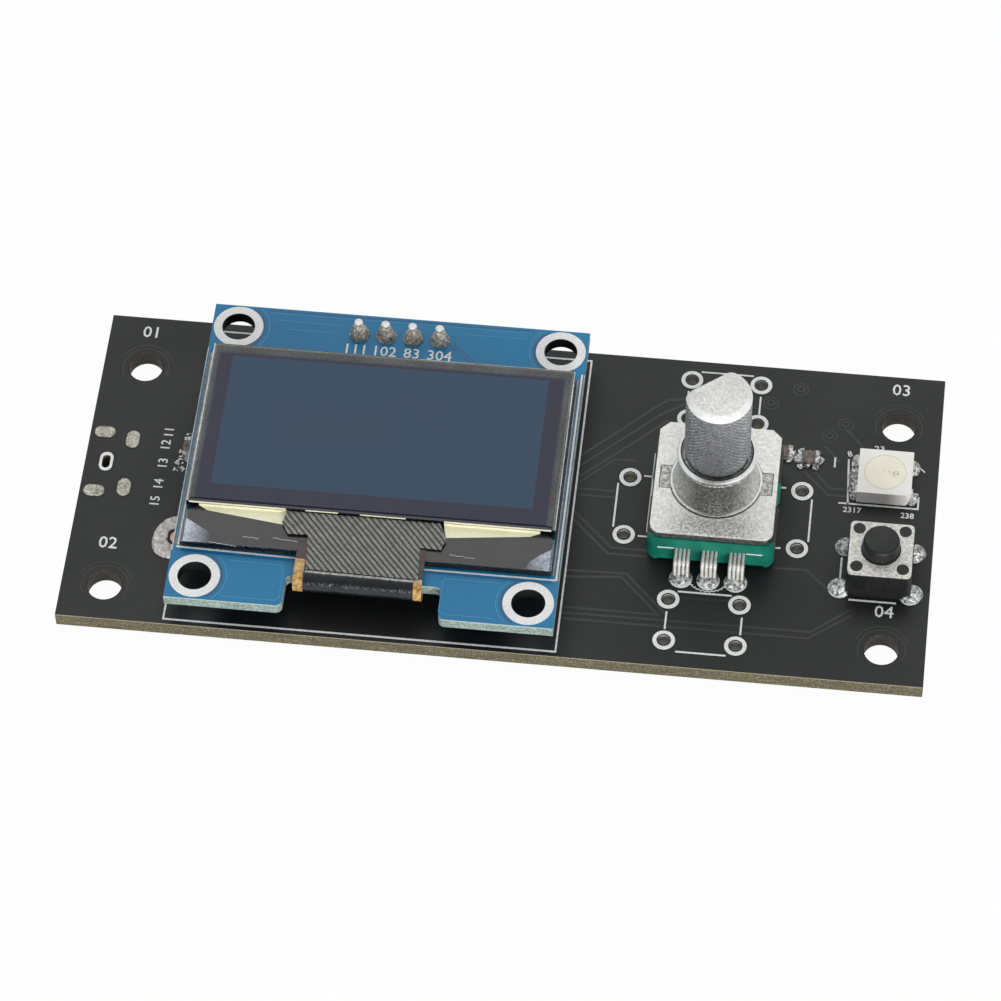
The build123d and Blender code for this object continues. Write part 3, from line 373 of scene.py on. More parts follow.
def add_turned(shape, outline, x, y, z, steps=48, closed=False, start=0.0, sweep=360.0):
    """A form turned about an upright axis, from its half section of radius and height in millimetres."""
    heading = math.radians(start)
    across, along = math.cos(heading), math.sin(heading)
    verts = [
        shape.verts.new(((x + radius * across) * MM, (y + radius * along) * MM, (z + height) * MM))
        for radius, height in outline
    ]
    pairs = list(zip(verts, verts[1:])) + ([(verts[-1], verts[0])] if closed else [])
    edges = [shape.edges.new(pair) for pair in pairs]
    whole = sweep == 360.0
    bmesh.ops.spin(
        shape, geom=verts + edges, cent=(x * MM, y * MM, 0), axis=(0, 0, 1),
        angle=math.radians(sweep), steps=steps, use_merge=whole,
    )
    if whole:
        bmesh.ops.remove_doubles(shape, verts=shape.verts, dist=1e-7)
    else:
        bmesh.ops.holes_fill(shape, edges=[edge for edge in shape.edges if edge.is_boundary])


def add_ring(shape, x, y, outer, inner, height, z, steps=40, start=0.0, sweep=360.0):
    section = [(inner, 0), (outer, 0), (outer, height), (inner, height)]
    add_turned(shape, section, x, y, z, steps, True, start, sweep)


raised_mask = mottled_material(
    "raised_mask", "161618", "242426", cloud=400, grain=4200, smooth=0.36, rough=0.5, relief=4e-6,
)
for places in (
    [(6.3, 5.2), (12.6, 11.35), (13.8, 12.4), (15.4, 12.7)], [(6.3, 4.0), (13.2, 10.6), (15.4, 12.1)],
    [(6.3, 2.7), (9.5, 5.7), (14.0, 10.0)], [(6.3, 2.0), (9.5, 5.13), (11.4, 5.15)], [(6.3, 1.5), (9.9, 1.5)],
    [(6.3, 0.8), (9.9, 0.8)], [(6.3, -1.0), (10.15, -4.82), (13.8, -4.85)],
    [(6.3, -1.9), (9.9, -5.52), (13.8, -5.52)], [(6.3, -7.7), (11.8, -7.6), (15.6, -11.5)],
    [(6.3, -8.45), (11.4, -8.0), (15.1, -11.8)], [(6.3, -11.8), (15.2, -11.8)],
    [(6.3, -12.42), (29.0, -12.3), (32.8, -9.2)], [(6.3, -13.05), (28.8, -13.02), (32.5, -10.2)],
    [(25.0, -5.6), (28.1, -5.55), (30.0, -7.3)], [(27.2, 5.4), (29.5, 3.05), (31.0, 3.04)],
    [(27.9, 5.8), (29.6, 3.8), (31.4, 3.8)], [(28.9, 8.5), (30.2, 7.0)], [(30.5, 10.9), (32.3, 8.9)],
    [(17.1, -9.75), (21.5, -9.7)],
):
    add_path(traces, places, 0.26, 0.015, board_top)
for x, y in ((30.56, 11.24), (29.15, 9.79), (23.45, 13.06), (26.12, 14.94)):
    add_ring(traces, x, y, 0.76, 0.62, 0.01, board_top, 28)
    add_ring(traces, x, y, 0.4, 0.2, 0.03, board_top, 24)
mounting_holes = [(x, y) for x in (-35.5, 35.5) for y in (11.4, -13.6)]
for x, y in mounting_holes:
    for outer, inner, start, sweep in ((2.22, 2.1, -30, 240), (2.62, 2.5, 20, 140)):
        add_ring(traces, x, y, outer, inner, 0.012, board_top, 56, start, sweep)
add_piece("board_traces", traces, raised_mask)

# Plated holes of the four empty button footprints: a tinned ring on each face, a dull barrel
# through the board, and a dark gap in the mask round each ring and each socket slot.
tin = mottled_material(
    "tin", "8d8d88", "e4e4df", metallic=0.7, cloud=900, grain=7000, share=0.55, smooth=0.3, rough=0.5,
)
white_ring = mottled_material("white_ring", "dededb", "ffffff", cloud=700, grain=5200, share=0.7, smooth=0.38)
# Dull tin for the hole barrels, also used as painted shade on the encoder's front terminals.
dull_tin_and_shade = mottled_material(
    "dull_tin_and_shade", "4a4843", "a39f94", metallic=0.2, cloud=1400, share=0.5, smooth=0.35, relief=2e-5,
)
# Near-black: the real gaps in the mask, and also painted shade in holes, at hole openings and in the
# bushing's bore.
dark_gap_and_shade = mottled_material(
    "dark_gap_and_shade", "070707", "0e0e0e", cloud=400, grain=4200, smooth=0.5, rough=0.7, relief=4e-6,
)
dress(white_ring, "hole_rings")
footprint_x, reach_x, reach_back, reach_front = 19.12, 5.72, 12.77, 12.26
footprint_holes = []
for centre_x, centre_y, half_x, half_y in (
    (footprint_x, reach_back, 3.25, 2.25), (footprint_x, -reach_front, 3.25, 2.25),
    (footprint_x - reach_x, 0, 2.25, 3.25), (footprint_x + reach_x, 0, 2.25, 3.25),
):
    footprint_holes += [(centre_x + i * half_x, centre_y + j * half_y) for i in (-1, 1) for j in (-1, 1)]
barrels = bmesh.new()
mask_gaps = bmesh.new()
mouth_shade_rings = bmesh.new()
hole_radius, barrel_radius, mouth_radius, ring_radius, gap_radius = 0.525, 0.5, 0.66, 1.025, 1.16
ring_height = 0.04
for x, y in footprint_holes:
    add_ring(barrels, x, y, hole_radius, barrel_radius, board_top - board_under, board_under, 32)
    add_ring(mask_gaps, x, y, gap_radius, ring_radius, 0.008, board_top, 40)
    add_ring(mouth_shade_rings, x, y, mouth_radius, hole_radius, 0.012, board_top + ring_height, 40)
add_piece("hole_barrels", barrels, dull_tin_and_shade, smooth_angle=40)
# The near-black ring over the inner edge of each tinned ring is painted shade at the hole's opening.
add_piece("hole_mouth_shade", mouth_shade_rings, dark_gap_and_shade)


def add_oval_ring(shape, x, y, length, width, border, height, z, along_x):
    """A thin ring round an oval slot."""
    reach = (length - width) / 2
    across = (width + border) / 2
    for side in (-1, 1):
        if along_x:
            start = -90 * side
            add_ring(shape, x + side * reach, y, width / 2 + border, width / 2, height, z, 20, start, 180)
            add_block(shape, 2 * reach, border, height, x, y + side * across, z)
        else:
            start = 90 - 90 * side
            add_ring(shape, x, y + side * reach, width / 2 + border, width / 2, height, z, 20, start, 180)
            add_block(shape, border, 2 * reach, height, x + side * across, y, z)


for x, y, along_x in ((-38.1, 3.6, True), (-38.1, -3.2, True), (-35.43, 2.95, False), (-35.43, -2.55, False)):
    add_oval_ring(mask_gaps, x, y, 1.98, 1.22, 0.14, 0.008, board_top, along_x)
add_oval_ring(mask_gaps, -37.52, 0.2, 2.1, 1.35, 0.14, 0.008, board_top, False)
add_piece("mask_gaps", mask_gaps, dark_gap_and_shade)

# The drilled mounting holes are painted dark brown inside, darker than the cut laminate, as painted shade.
hole_wall_shade = mottled_material(
    "hole_wall_shade", "120e0b", "35291f", cloud=900, grain=3800, share=0.5, smooth=0.5, rough=0.75, relief=4e-5,
)
wall_outer, wall_inner, wall_inset = 1.6, 1.58, 0.03
walls = bmesh.new()
for x, y in mounting_holes:
    add_ring(
        walls, x, y, wall_outer, wall_inner, board_top - board_under - 0.06, board_under + wall_inset, 64,
    )
add_piece("hole_walls", walls, hole_wall_shade, smooth_angle=40)

# Silk screen: white ink outlines and plain numbers, printed 0.03 mm thick on the mask. They
# frame the display, the footprints, the encoder, the lamp and the button.
INK = 0.03
white_ink = mottled_material(
    "white_ink", "d4d4d1", "fdfdfb", cloud=1500, share=0.6, smooth=0.5, rough=0.7, relief=4e-6,
)


def take_curve(shape, curve, place):
    """Turn a curve into a mesh, put it in its place and move it into a bmesh."""
    holder = bpy.data.objects.new("curve", curve)
    stage_collection.objects.link(holder)
    flat = bpy.data.meshes.new_from_object(holder.evaluated_get(bpy.context.evaluated_depsgraph_get()))
    flat.transform(place)
    shape.from_mesh(flat)
    bpy.data.objects.remove(holder)
    bpy.data.curves.remove(curve)
    bpy.data.meshes.remove(flat)


def add_number(shape, words, x, y, size, z, turn=0.0):
    """A plain printed number, with its middle at the place given."""
    curve = bpy.data.curves.new("number", "FONT")
    curve.body = words
    curve.size = size * MM
    curve.offset = 0.01 * MM
    curve.extrude = INK / 2 * MM
    curve.align_x = "CENTER"
    curve.align_y = "CENTER"
    curve.resolution_u = 2
    middle = Matrix.Translation((x * MM, y * MM, (z + INK / 2) * MM))
    take_curve(shape, curve, middle @ Matrix.Rotation(math.radians(turn), 4, "Z"))


silk = bmesh.new()
for line in (
    [(-29.6, 16.3), (-29.6, -16.75), (6.25, -16.75), (6.25, 16.3), (-29.6, 16.3)],
    [(16.75, -9.06), (21.5, -9.06)], [(17.1, -15.64), (21.5, -15.64)], [(15.84, -11.45), (15.84, -13.2)],
    [(22.7, -11.45), (22.7, -13.2)], [(16.75, 16.03), (21.5, 16.03)], [(15.65, 13.6), (15.65, 11.7)],
    [(22.43, 13.6), (22.43, 11.7)], [(10.1, 2.4), (10.1, -2.4)], [(12.5, 3.52), (14.2, 3.52)],
    [(12.55, -3.28), (14.2, -3.28)], [(28.06, 2.3), (28.06, -2.3)], [(24.0, 3.48), (25.5, 3.48)],
    # The ink line at x 13.25, beside the encoder, stands for the highlight along the encoder bracket's edge:
    # a painted highlight.
    [(24.0, -3.34), (25.5, -3.34)], [(13.25, 6.1), (13.25, -2.7)],
    [(30.58, 2.27), (37.82, 2.27), (37.82, 3.55)], [(31.12, 7.24), (31.36, 2.27)],
    [(31.25, -3.9), (31.25, -6.2)], [(32.27, -8.4), (36.4, -8.4)],
):
    add_path(silk, line, 0.17, INK, board_top)
for words, x, y, size, turn in (
    ("01", -35.52, 15.5, 1.8, 0), ("02", -35.9, -8.95, 1.8, 0), ("03", 35.51, 15.7, 1.8, 0),
    ("04", 35.48, -9.5, 1.8, 0), ("11", -32.15, 4.1, 1.25, 90), ("12", -32.25, 2.6, 1.25, 90),
    ("13", -32.2, 0.5, 1.25, 90), ("14", -32.25, -1.9, 1.25, 90), ("15", -32.3, -3.85, 1.25, 90),
    ("1", 29.87, 6.77, 1.6, 0), ("2317", 31.8, 1.55, 0.85, 0), ("238", 36.9, 1.4, 0.85, 0),
    ("23", 33.9, 8.7, 1.0, 0), ("8", 31.2, 7.9, 0.9, 20), ("7", 38.0, 6.7, 0.9, 70),
):
    add_number(silk, words, x, y, size, board_top, turn)
for i in range(20):
    angle = math.radians(200 + i * 7)
    place = Vector((19.25 + 1.7 * math.cos(angle), -7.6 + 1.2 * math.sin(angle)))
    add_path(silk, [place, place + Vector((0.08, 0.06 * (-1) ** i))], 0.1, INK, board_top)
for i in range(34):
    stray = Vector((noise.noise(Vector((i * 1.7, 3, 0))), noise.noise(Vector((i * 1.3, 0, 5)))))
    place = Vector((-30.1 + 0.7 * stray.x - 0.02 * i, 4.1 - 0.13 * i + 0.4 * stray.y))
    add_path(
        silk, [place, place + stray * 0.55, place + Vector((stray.y, -stray.x)) * 0.5], 0.09, INK, board_top,
    )
add_piece("board_silk", silk, white_ink)

# Parts soldered on the top: three chip parts with tinned ends under small bright fillets, and
# the dull solder that fills the socket's four lug slots.
solder = mottled_material(
    "solder", "35332e", "ffffff", metallic=0.3, cloud=1500, grain=3000, share=0.75, smooth=0.16, rough=0.42,
    relief=0.0001,
)
dark_solder = mottled_material(
    "dark_solder", "54483a", "f6ecdc", metallic=0.25, cloud=1700, grain=4200, share=0.6, smooth=0.16,
    rough=0.4, relief=8e-5,
)
dull_solder = mottled_material(
    "dull_solder", "5a5648", "eae7d6", metallic=0.2, cloud=1500, grain=4200, share=0.6, smooth=0.35,
    relief=5e-5,
)
chip_black = mottled_material(
    "chip_black", "0b0b0c", "1c1c1e", cloud=800, grain=7000, smooth=0.3, rough=0.5, relief=6e-6,
)
chip_tan = mottled_material(
    "chip_tan", "5e4a33", "87705a", cloud=900, grain=7000, smooth=0.35, rough=0.55, relief=5e-6,
)
copper = mottled_material(
    "copper", "a0705c", "e0b5a0", metallic=0.5, cloud=1200, grain=7000, smooth=0.3, rough=0.5,
)
dress(dull_solder, "socket_joints")
chip_brown = mottled_material(
    "chip_brown", "14110f", "8b8076", cloud=1800, grain=2600, share=0.7, smooth=0.25, rough=0.5, relief=8e-5,
)
dress(chip_brown, "top_chip_bodies")
dress(chip_black, "driver_chip", "lamp_dice")
dress(chip_tan, "under_chip_bodies", "display_chip_bodies")
dress(solder, "top_chip_ends")
dress(tin, "under_chip_ends", "display_chip_ends", "header_pins", "button_pins", "lamp_leads")
dress(copper, "copper_spot", "socket_contacts")
dress(solder, "header_joints_under", "encoder_joints", "button_joints")


def roughen(verts, amount, scale):
    """Move points along their normals by a fixed noise, both in millimetres."""
    for vert in verts:
        vert.co += vert.normal * noise.noise(vert.co / MM * scale) * amount * MM


def join(shape, other):
    """Move one bmesh into another."""
    held = bpy.data.meshes.new("held")
    other.to_mesh(held)
    other.free()
    shape.from_mesh(held)
    bpy.data.meshes.remove(held)


def add_blob(shape, x, y, z, radius, height, amount, scale=2.6):
    """A lump of solder: a low dome with a flat foot, rough all over."""
    angles = [math.radians(angle) for angle in range(0, 90, 10)]
    dome = [(radius * math.cos(a) ** 0.7, height * math.sin(a) ** 0.9) for a in angles] + [(0, height)]
    blob = bmesh.new()
    add_turned(blob, dome, x, y, z, 40)
    blob.normal_update()
    roughen([vert for vert in blob.verts if vert.co.z > (z + 0.02) * MM], amount, scale)
    bmesh.ops.holes_fill(blob, edges=[edge for edge in blob.edges if edge.is_boundary])
    join(shape, blob)


fillets = bmesh.new()
for x, y, radius in (
    (23.95, 7.3, 0.45), (25.85, 7.3, 0.4), (25.5, 6.75, 0.3), (25.6, 7.95, 0.28), (26.5, 6.9, 0.5),
    (28.3, 6.85, 0.5), (26.75, 7.75, 0.32), (28.15, 7.65, 0.3), (26.7, 6.1, 0.3), (28.1, 6.05, 0.33),
    (27.45, 7.55, 0.24), (27.3, 6.2, 0.22), (-29.9, 3.35, 0.45), (-29.9, 1.3, 0.45), (-30.3, 2.6, 0.3),
    (-30.4, 1.8, 0.26),
):
    add_blob(fillets, x, y, board_top, radius, 0.36, 0.2, 4.0)
add_piece("chip_fillets", fillets, solder, smooth_angle=60)

# The domed pad half under the display: a round copper pad with a thick coat of dull solder that
# has run out at one side, and a bare copper spot in a dark ring.
pale_solder = mottled_material(
    "pale_solder", "a89b8a", "ffffff", cloud=1100, grain=2600, share=0.7, smooth=0.35, relief=0.00012,
)
pad_x, pad_y = -29.5, -7.75
pad = bmesh.new()
add_turned(pad, [
    (1.0, 0), (1.05, 0.3), (1.22, 0.5), (1.36, 0.5), (1.55, 0.4), (1.75, 0.4), (1.95, 0.48), (2.1, 0.48),
    (2.22, 0.38), (2.3, 0.22), (2.34, 0),
], pad_x, pad_y, board_top, 96)
pad.normal_update()
roughen([vert for vert in pad.verts if vert.co.z > (board_top + 0.15) * MM], 0.16, 1.9)
for vert in pad.verts:
    offset = Vector((vert.co.x / MM - pad_x, vert.co.y / MM - pad_y))
    spread = max(0.0, offset.normalized().dot(Vector((-0.75, -0.66)))) ** 6 if offset.length > 2 else 0.0
    vert.co.x += offset.x * 0.14 * spread * MM
    vert.co.y += offset.y * 0.14 * spread * MM
pad_dome = add_piece("pad_dome", pad, pale_solder, smooth_angle=70)
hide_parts("tinned_pad")
spot_ring = bmesh.new()
add_ring(spot_ring, pad_x, pad_y, 1.16, 0.8, 0.1, board_top + 0.1, 40)
add_piece("pad_spot_ring", spot_ring, dark_gap_and_shade)

# Underside: the folded steel socket with its moulded tongue, and the controller and regulator in
# black moulded packages with tinned leads, among traces and ink outlines.
socket_steel = mottled_material(
    "socket_steel", "9c9c98", "d6d6d0", metallic=1.0, cloud=260, grain=5200, share=0.4, smooth=0.22,
    rough=0.4, relief=8e-6,
)
moulded_black = mottled_material(
    "moulded_black", "09090a", "151516", cloud=700, grain=5600, smooth=0.42, rough=0.62,
)
dress(socket_steel, "socket_shell", "detent_spring")
dress(
    moulded_black, "socket_tongue", "controller_body", "regulator_body", "header_body", "encoder_rotor",
    "button_base",
)
dress(tin, "controller_leads", "regulator_leads")
under_traces = bmesh.new()
for places in (
    [(-15.9, -1.6), (-15.9, -4.5), (-20.0, -8.5), (-33.0, -8.5)],
    [(-14.6, -1.6), (-14.6, -6.0), (-18.5, -9.9), (-33.0, -9.9)],
    [(-12.0, -1.6), (-12.0, -7.0), (10.0, -7.0), (15.9, -12.9)],
    [(-10.7, -1.6), (-10.7, -5.0), (11.0, -5.0), (16.8, -7.0)], [(-15.9, 5.6), (-15.9, 8.0), (-15.46, 13.3)],
    [(-13.3, 5.6), (-13.3, 8.0), (-12.92, 13.3)], [(-10.7, 5.6), (-10.7, 8.0), (-10.38, 13.3)],
    [(-34.0, 1.5), (-28.0, 1.5), (-22.5, 3.0), (-17.5, 3.0)],
    [(-34.0, -1.0), (-28.0, -1.0), (-22.5, 0.5), (-17.5, 0.5)], [(0.0, 10.0), (12.0, 10.0), (15.3, 10.4)],
    [(0.0, 11.2), (10.5, 11.2), (15.3, 14.6)], [(26.5, 5.0), (29.0, 5.0), (31.0, 3.0)],
):
    add_path(under_traces, places, 0.3, -0.02, board_under)
add_piece("under_traces", under_traces, raised_mask)
under_silk = bmesh.new()
for line in (
    [(-17.4, -1.9), (-8.6, -1.9), (-8.6, 5.9), (-17.4, 5.9), (-17.4, -1.9)],
    [(-39.2, -4.4), (-34.4, -4.4), (-34.4, 4.8), (-39.2, 4.8)],
    [(-17.2, 12.7), (-6.1, 12.7), (-6.1, 16.3), (-17.2, 16.3), (-17.2, 12.7)],
):
    add_path(under_silk, line, 0.18, -INK, board_under)
add_piece("under_silk", under_silk, white_ink)

# The display board is a blue-masked board, 1.2 mm thick, on a four-pin header. Its edges are
# grey-green laminate, its corner holes have tinned rings, and its front edge has a notch.
display_low, display_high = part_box("display_board")
display_top = display_high.z / MM
display_under = display_low.z / MM
blue_board = board_material(
    "blue_board", display_top, display_under, "0f6f9e", "1e80ad", "70837b", "a7b6ad", "b9c9c0", 0.3, 0.44, 0.3
)
dress(blue_board, "display_board")
display_x = -11.65
display_holes = [(x, y) for x in (-26.85, 3.55) for y in (14.25, -14.25)]
# The corner holes' walls are near-black: painted shade inside the holes.
display_walls = bmesh.new()
for x, y in display_holes:
    add_ring(display_walls, x, y, 1.55, 1.53, display_top - display_under, display_under, 64)
add_piece("display_hole_walls", display_walls, dark_gap_and_shade, smooth_angle=40)
dress(white_ring, "display_rings")

# Copper under the blue mask: the pour ends in a faint line short of the edges and in an arc round
# each corner ring, where the bare board between them looks darker. Two traces leave the header.
pour_line = mottled_material(
    "pour_line", "2a84b0", "3d93bb", cloud=600, grain=5200, smooth=0.3, rough=0.45, relief=4e-6,
)
pour_gap = mottled_material(
    "pour_gap", "094a76", "0d5c8a", cloud=600, grain=5200, smooth=0.3, rough=0.45, relief=4e-6,
)
pour = bmesh.new()
pour_gaps = bmesh.new()
for line in (
    [(-23.9, -12.25), (-19.2, -12.3), (-18.95, -12.6), (-18.9, -15.9), (-19.3, -16.2), (-24.2, -16.2)],
    [(0.9, -12.3), (-4.1, -12.3), (-4.4, -12.6), (-4.4, -15.9), (-4.0, -16.2), (0.6, -16.2)],
    [(-24.0, 16.2), (0.6, 16.2)], [(-23.6, 15.4), (-17.2, 15.3)], [(-22.5, 14.4), (-17.4, 14.4)],
    [(-5.9, 15.4), (0.0, 15.5)],
):
    add_path(pour, line, 0.07, 0.012, display_top)
for line in (
    [(-24.2, 16.45), (0.8, 16.45)], [(-6.9, 14.1), (-4.0, 11.5)], [(-6.4, 14.15), (-3.5, 11.55)],
    [(-28.9, -11.55), (-18.2, -11.78)], [(-5.7, -11.82), (5.4, -11.85)],
):
    add_path(pour_gaps, line, 0.13, 0.01, display_top)
for x, y in display_holes:
    start = -60 if x < display_x else 120
    add_ring(pour_gaps, x, y, 2.62, 2.36, 0.01, display_top, 36, start, 120)
    add_ring(pour, x, y, 2.98, 2.9, 0.012, display_top, 36, start + 10, 100)
add_piece("display_pour", pour, pour_line)
add_piece("display_gaps", pour_gaps, pour_gap)

# Display silk: the white lines that frame the glass, and a plain number at each header pin. They
# are printed in the same ink as on the main board.
display_silk = bmesh.new()
for line in ([(-28.9, -11.2), (-17.8, -11.43)], [(-6.4, -11.5), (5.8, -11.5), (5.8, 11.75)]):
    add_path(display_silk, line, 0.16, INK, display_top)
for words, pin_x in (("111", -15.6), ("102", -12.9), ("83", -10.3), ("304", -7.7)):
    add_number(display_silk, words, pin_x, 12.65, 1.6, display_top)
add_piece("display_silk", display_silk, white_ink)

# Header joints: each pin is soldered in its hole, in a rough cone that climbs the pin. The pin's
# bright, slightly domed tip stands just clear of it.
header_joints = bmesh.new()
pin_tips = bmesh.new()
for pin_x in (-15.46, -12.92, -10.38, -7.84):
    add_turned(header_joints, [
        (0, 0), (0.95, 0), (0.92, 0.12), (0.8, 0.35), (0.66, 0.75), (0.55, 1.15), (0.46, 1.5), (0.3, 1.62),
        (0, 1.64),
    ], pin_x, 14.5, display_top, 40)
    add_turned(pin_tips, [(0, 0), (0.36, 0.02), (0.38, 0.1), (0.26, 0.2), (0, 0.22)], pin_x, 14.5, 9.6, 20)
bmesh.ops.subdivide_edges(header_joints, edges=header_joints.edges, cuts=1, use_grid_fill=True)
header_joints.normal_update()
roughen([vert for vert in header_joints.verts if vert.co.z > (display_top + 0.05) * MM], 0.16, 2.8)
header_cone = add_piece("header_joint_cones", header_joints, dark_solder, smooth_angle=60)
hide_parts("header_joints_top")
add_piece("header_pin_tips", pin_tips, white_ring, smooth_angle=50)

# The display glass is a sandwich of two clear sheets with pale ground edges, and a polarising
# film on top. The film is slate over the lit area, violet round it and grey along its margin.
film, tree, shader, place = start_material("display_film")
film_parts = split(tree, place)
lit = both(
    tree, add_band(tree, film_parts["X"], -26.6, 2.95, 0.1), add_band(tree, film_parts["Y"], -5.05, 9.6, 0.1)
)
dark_part = both(
    tree, add_band(tree, film_parts["X"], -27.9, 4.45, 0.3), add_band(tree, film_parts["Y"], -6.9, 9.95, 0.3)
)
slate = add_mottle(
    tree, place, "1d3a52", "254560", cloud=55, grain=4000, share=0.2, smooth=0.28, rough=0.38, relief=1.5e-6,
)
violet = add_mottle(
    tree, place, "1f2033", "2c2b42", cloud=120, grain=5200, share=0.6, smooth=0.28, rough=0.38,
    relief=1.5e-6,
)
margin = add_mottle(
    tree, place, "36363a", "5f5f62", grain=4200, share=0.5, smooth=0.28, rough=0.38, relief=1.5e-6,
)
film_surround = blend_colours(tree, dark_part, margin["Color"], violet["Color"])
film_shade = blend_colours(tree, lit, film_surround, slate["Color"])
finish_material(tree, shader, film_shade, slate["Roughness"], slate["Normal"])
shader.inputs["Specular IOR Level"].default_value = 0.3
dress(film, "polariser")

glass, tree, shader, place = start_material("display_glass")
glass_skin = add_mottle(
    tree, place, "c9d2cf", "eaf0ee", cloud=200, grain=3000, smooth=0.02, rough=0.09, relief=5e-7,
)
ground_edge = add_mottle(
    tree, place, "a9ab8f", "f2f3e2", cloud=420, grain=4500, share=0.45, smooth=0.2, rough=0.45,
)
glass_normal = add_node(tree, "ShaderNodeNewGeometry").outputs["Normal"]
glass_up = split(tree, glass_normal)["Z"]
glass_flat = calculate(tree, "ABSOLUTE", glass_up)
glass_clear = stretch(tree, glass_flat, 0.4, 0.6)
glass_colour = blend_colours(tree, glass_clear, ground_edge["Color"], glass_skin["Color"])
glass_roughness = blend_values(tree, glass_clear, ground_edge["Roughness"], glass_skin["Roughness"])
finish_material(tree, shader, glass_colour, glass_roughness, glass_skin["Normal"])
shader.inputs["Transmission Weight"].default_value = 1.0
shader.inputs["IOR"].default_value = 1.5
dress(glass, "front_glass", "rear_glass")
foam = mottled_material("foam_tape", "2a2f33", "3d4449", cloud=500, smooth=0.7, rough=0.9, relief=2e-5)
dress(foam, "glass_tape")

# Inner layers: the dark coating between the two sheets, and on the ledge the grey-brown coating
# with its cream strips and pale corners. All are a few hundredths of a millimetre thick.
rear_low, rear_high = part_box("rear_glass")
ledge_top = rear_high.z / MM


def add_sheet(shape, corners, thickness, z):
    """A flat sheet cut to a polygon, its corners in millimetres, on the level z."""
    face = shape.faces.new([shape.verts.new((x * MM, y * MM, z * MM)) for x, y in corners])
    made = bmesh.ops.extrude_face_region(shape, geom=[face])
    lifted = [item for item in made["geom"] if isinstance(item, bmesh.types.BMVert)]
    bmesh.ops.translate(shape, verts=lifted, vec=(0, 0, thickness * MM))


dark_coat = mottled_material("dark_coat", "2a2833", "393645", grain=5000, smooth=0.3, rough=0.5, relief=2e-6)
coat = bmesh.new()
add_sheet(coat, [(-27.9, -6.9), (4.6, -6.9), (4.6, 10.4), (-27.9, 10.4)], 0.03, rear_low.z / MM - 0.04)
add_piece("inner_coat", coat, dark_coat)
ledge_coat = mottled_material(
    "ledge_coat", "1f1d22", "302d2b", cloud=350, grain=5200, share=0.4, smooth=0.12, rough=0.25, relief=1e-6,
)
ledge = bmesh.new()
add_sheet(ledge, [
    (-28.3, -7.6), (-28.3, -11.15), (5.0, -11.15), (5.0, -7.6), (4.5, -7.15), (-27.6, -7.15),
], 0.02, ledge_top)
add_piece("ledge_coat", ledge, ledge_coat)
cream = mottled_material("cream_strip", "e6e3bf", "faf8dc", cloud=400, smooth=0.35, rough=0.55, relief=4e-6)
strips = bmesh.new()
add_sheet(strips, [(-27.3, -7.12), (-26.6, -7.55), (-19.5, -8.45), (-19.2, -7.12)], 0.03, ledge_top + 0.02)
add_sheet(strips, [(-4.9, -7.12), (-4.6, -8.45), (3.0, -7.55), (3.9, -7.12)], 0.03, ledge_top + 0.02)
add_piece("cream_strips", strips, cream)
pale_corner, tree, shader, place = start_material("pale_corner")
corner_x = split(tree, place)["X"]
glass_middle, fade_from, fade_to = -0.0116, 0.0143, 0.0166
corner_off = calculate(tree, "ADD", corner_x, -glass_middle)
corner_away = calculate(tree, "ABSOLUTE", corner_off)
corner_fade = stretch(tree, corner_away, fade_from, fade_to)
corner_pale = add_mottle(
    tree, place, "76809a", "eef2f8", cloud=500, grain=3600, share=0.5, smooth=0.1, rough=0.3, relief=2e-6,
)
corner_dark = add_mottle(tree, place, "1f1d22", "302d2b")
corner_shade = blend_colours(tree, corner_fade, corner_dark["Color"], corner_pale["Color"])
finish_material(tree, shader, corner_shade, corner_pale["Roughness"], corner_pale["Normal"])
corners = bmesh.new()
add_sheet(
    corners, [(-28.35, -8.6), (-26.7, -9.6), (-25.2, -10.4), (-24.6, -11.15), (-28.35, -11.15)], 0.03,
    ledge_top + 0.02,
)
add_sheet(
    corners, [(5.1, -8.8), (4.1, -9.5), (3.3, -10.3), (2.9, -11.15), (5.1, -11.15)], 0.03, ledge_top + 0.02,
)
add_piece("pale_corners", corners, pale_corner)

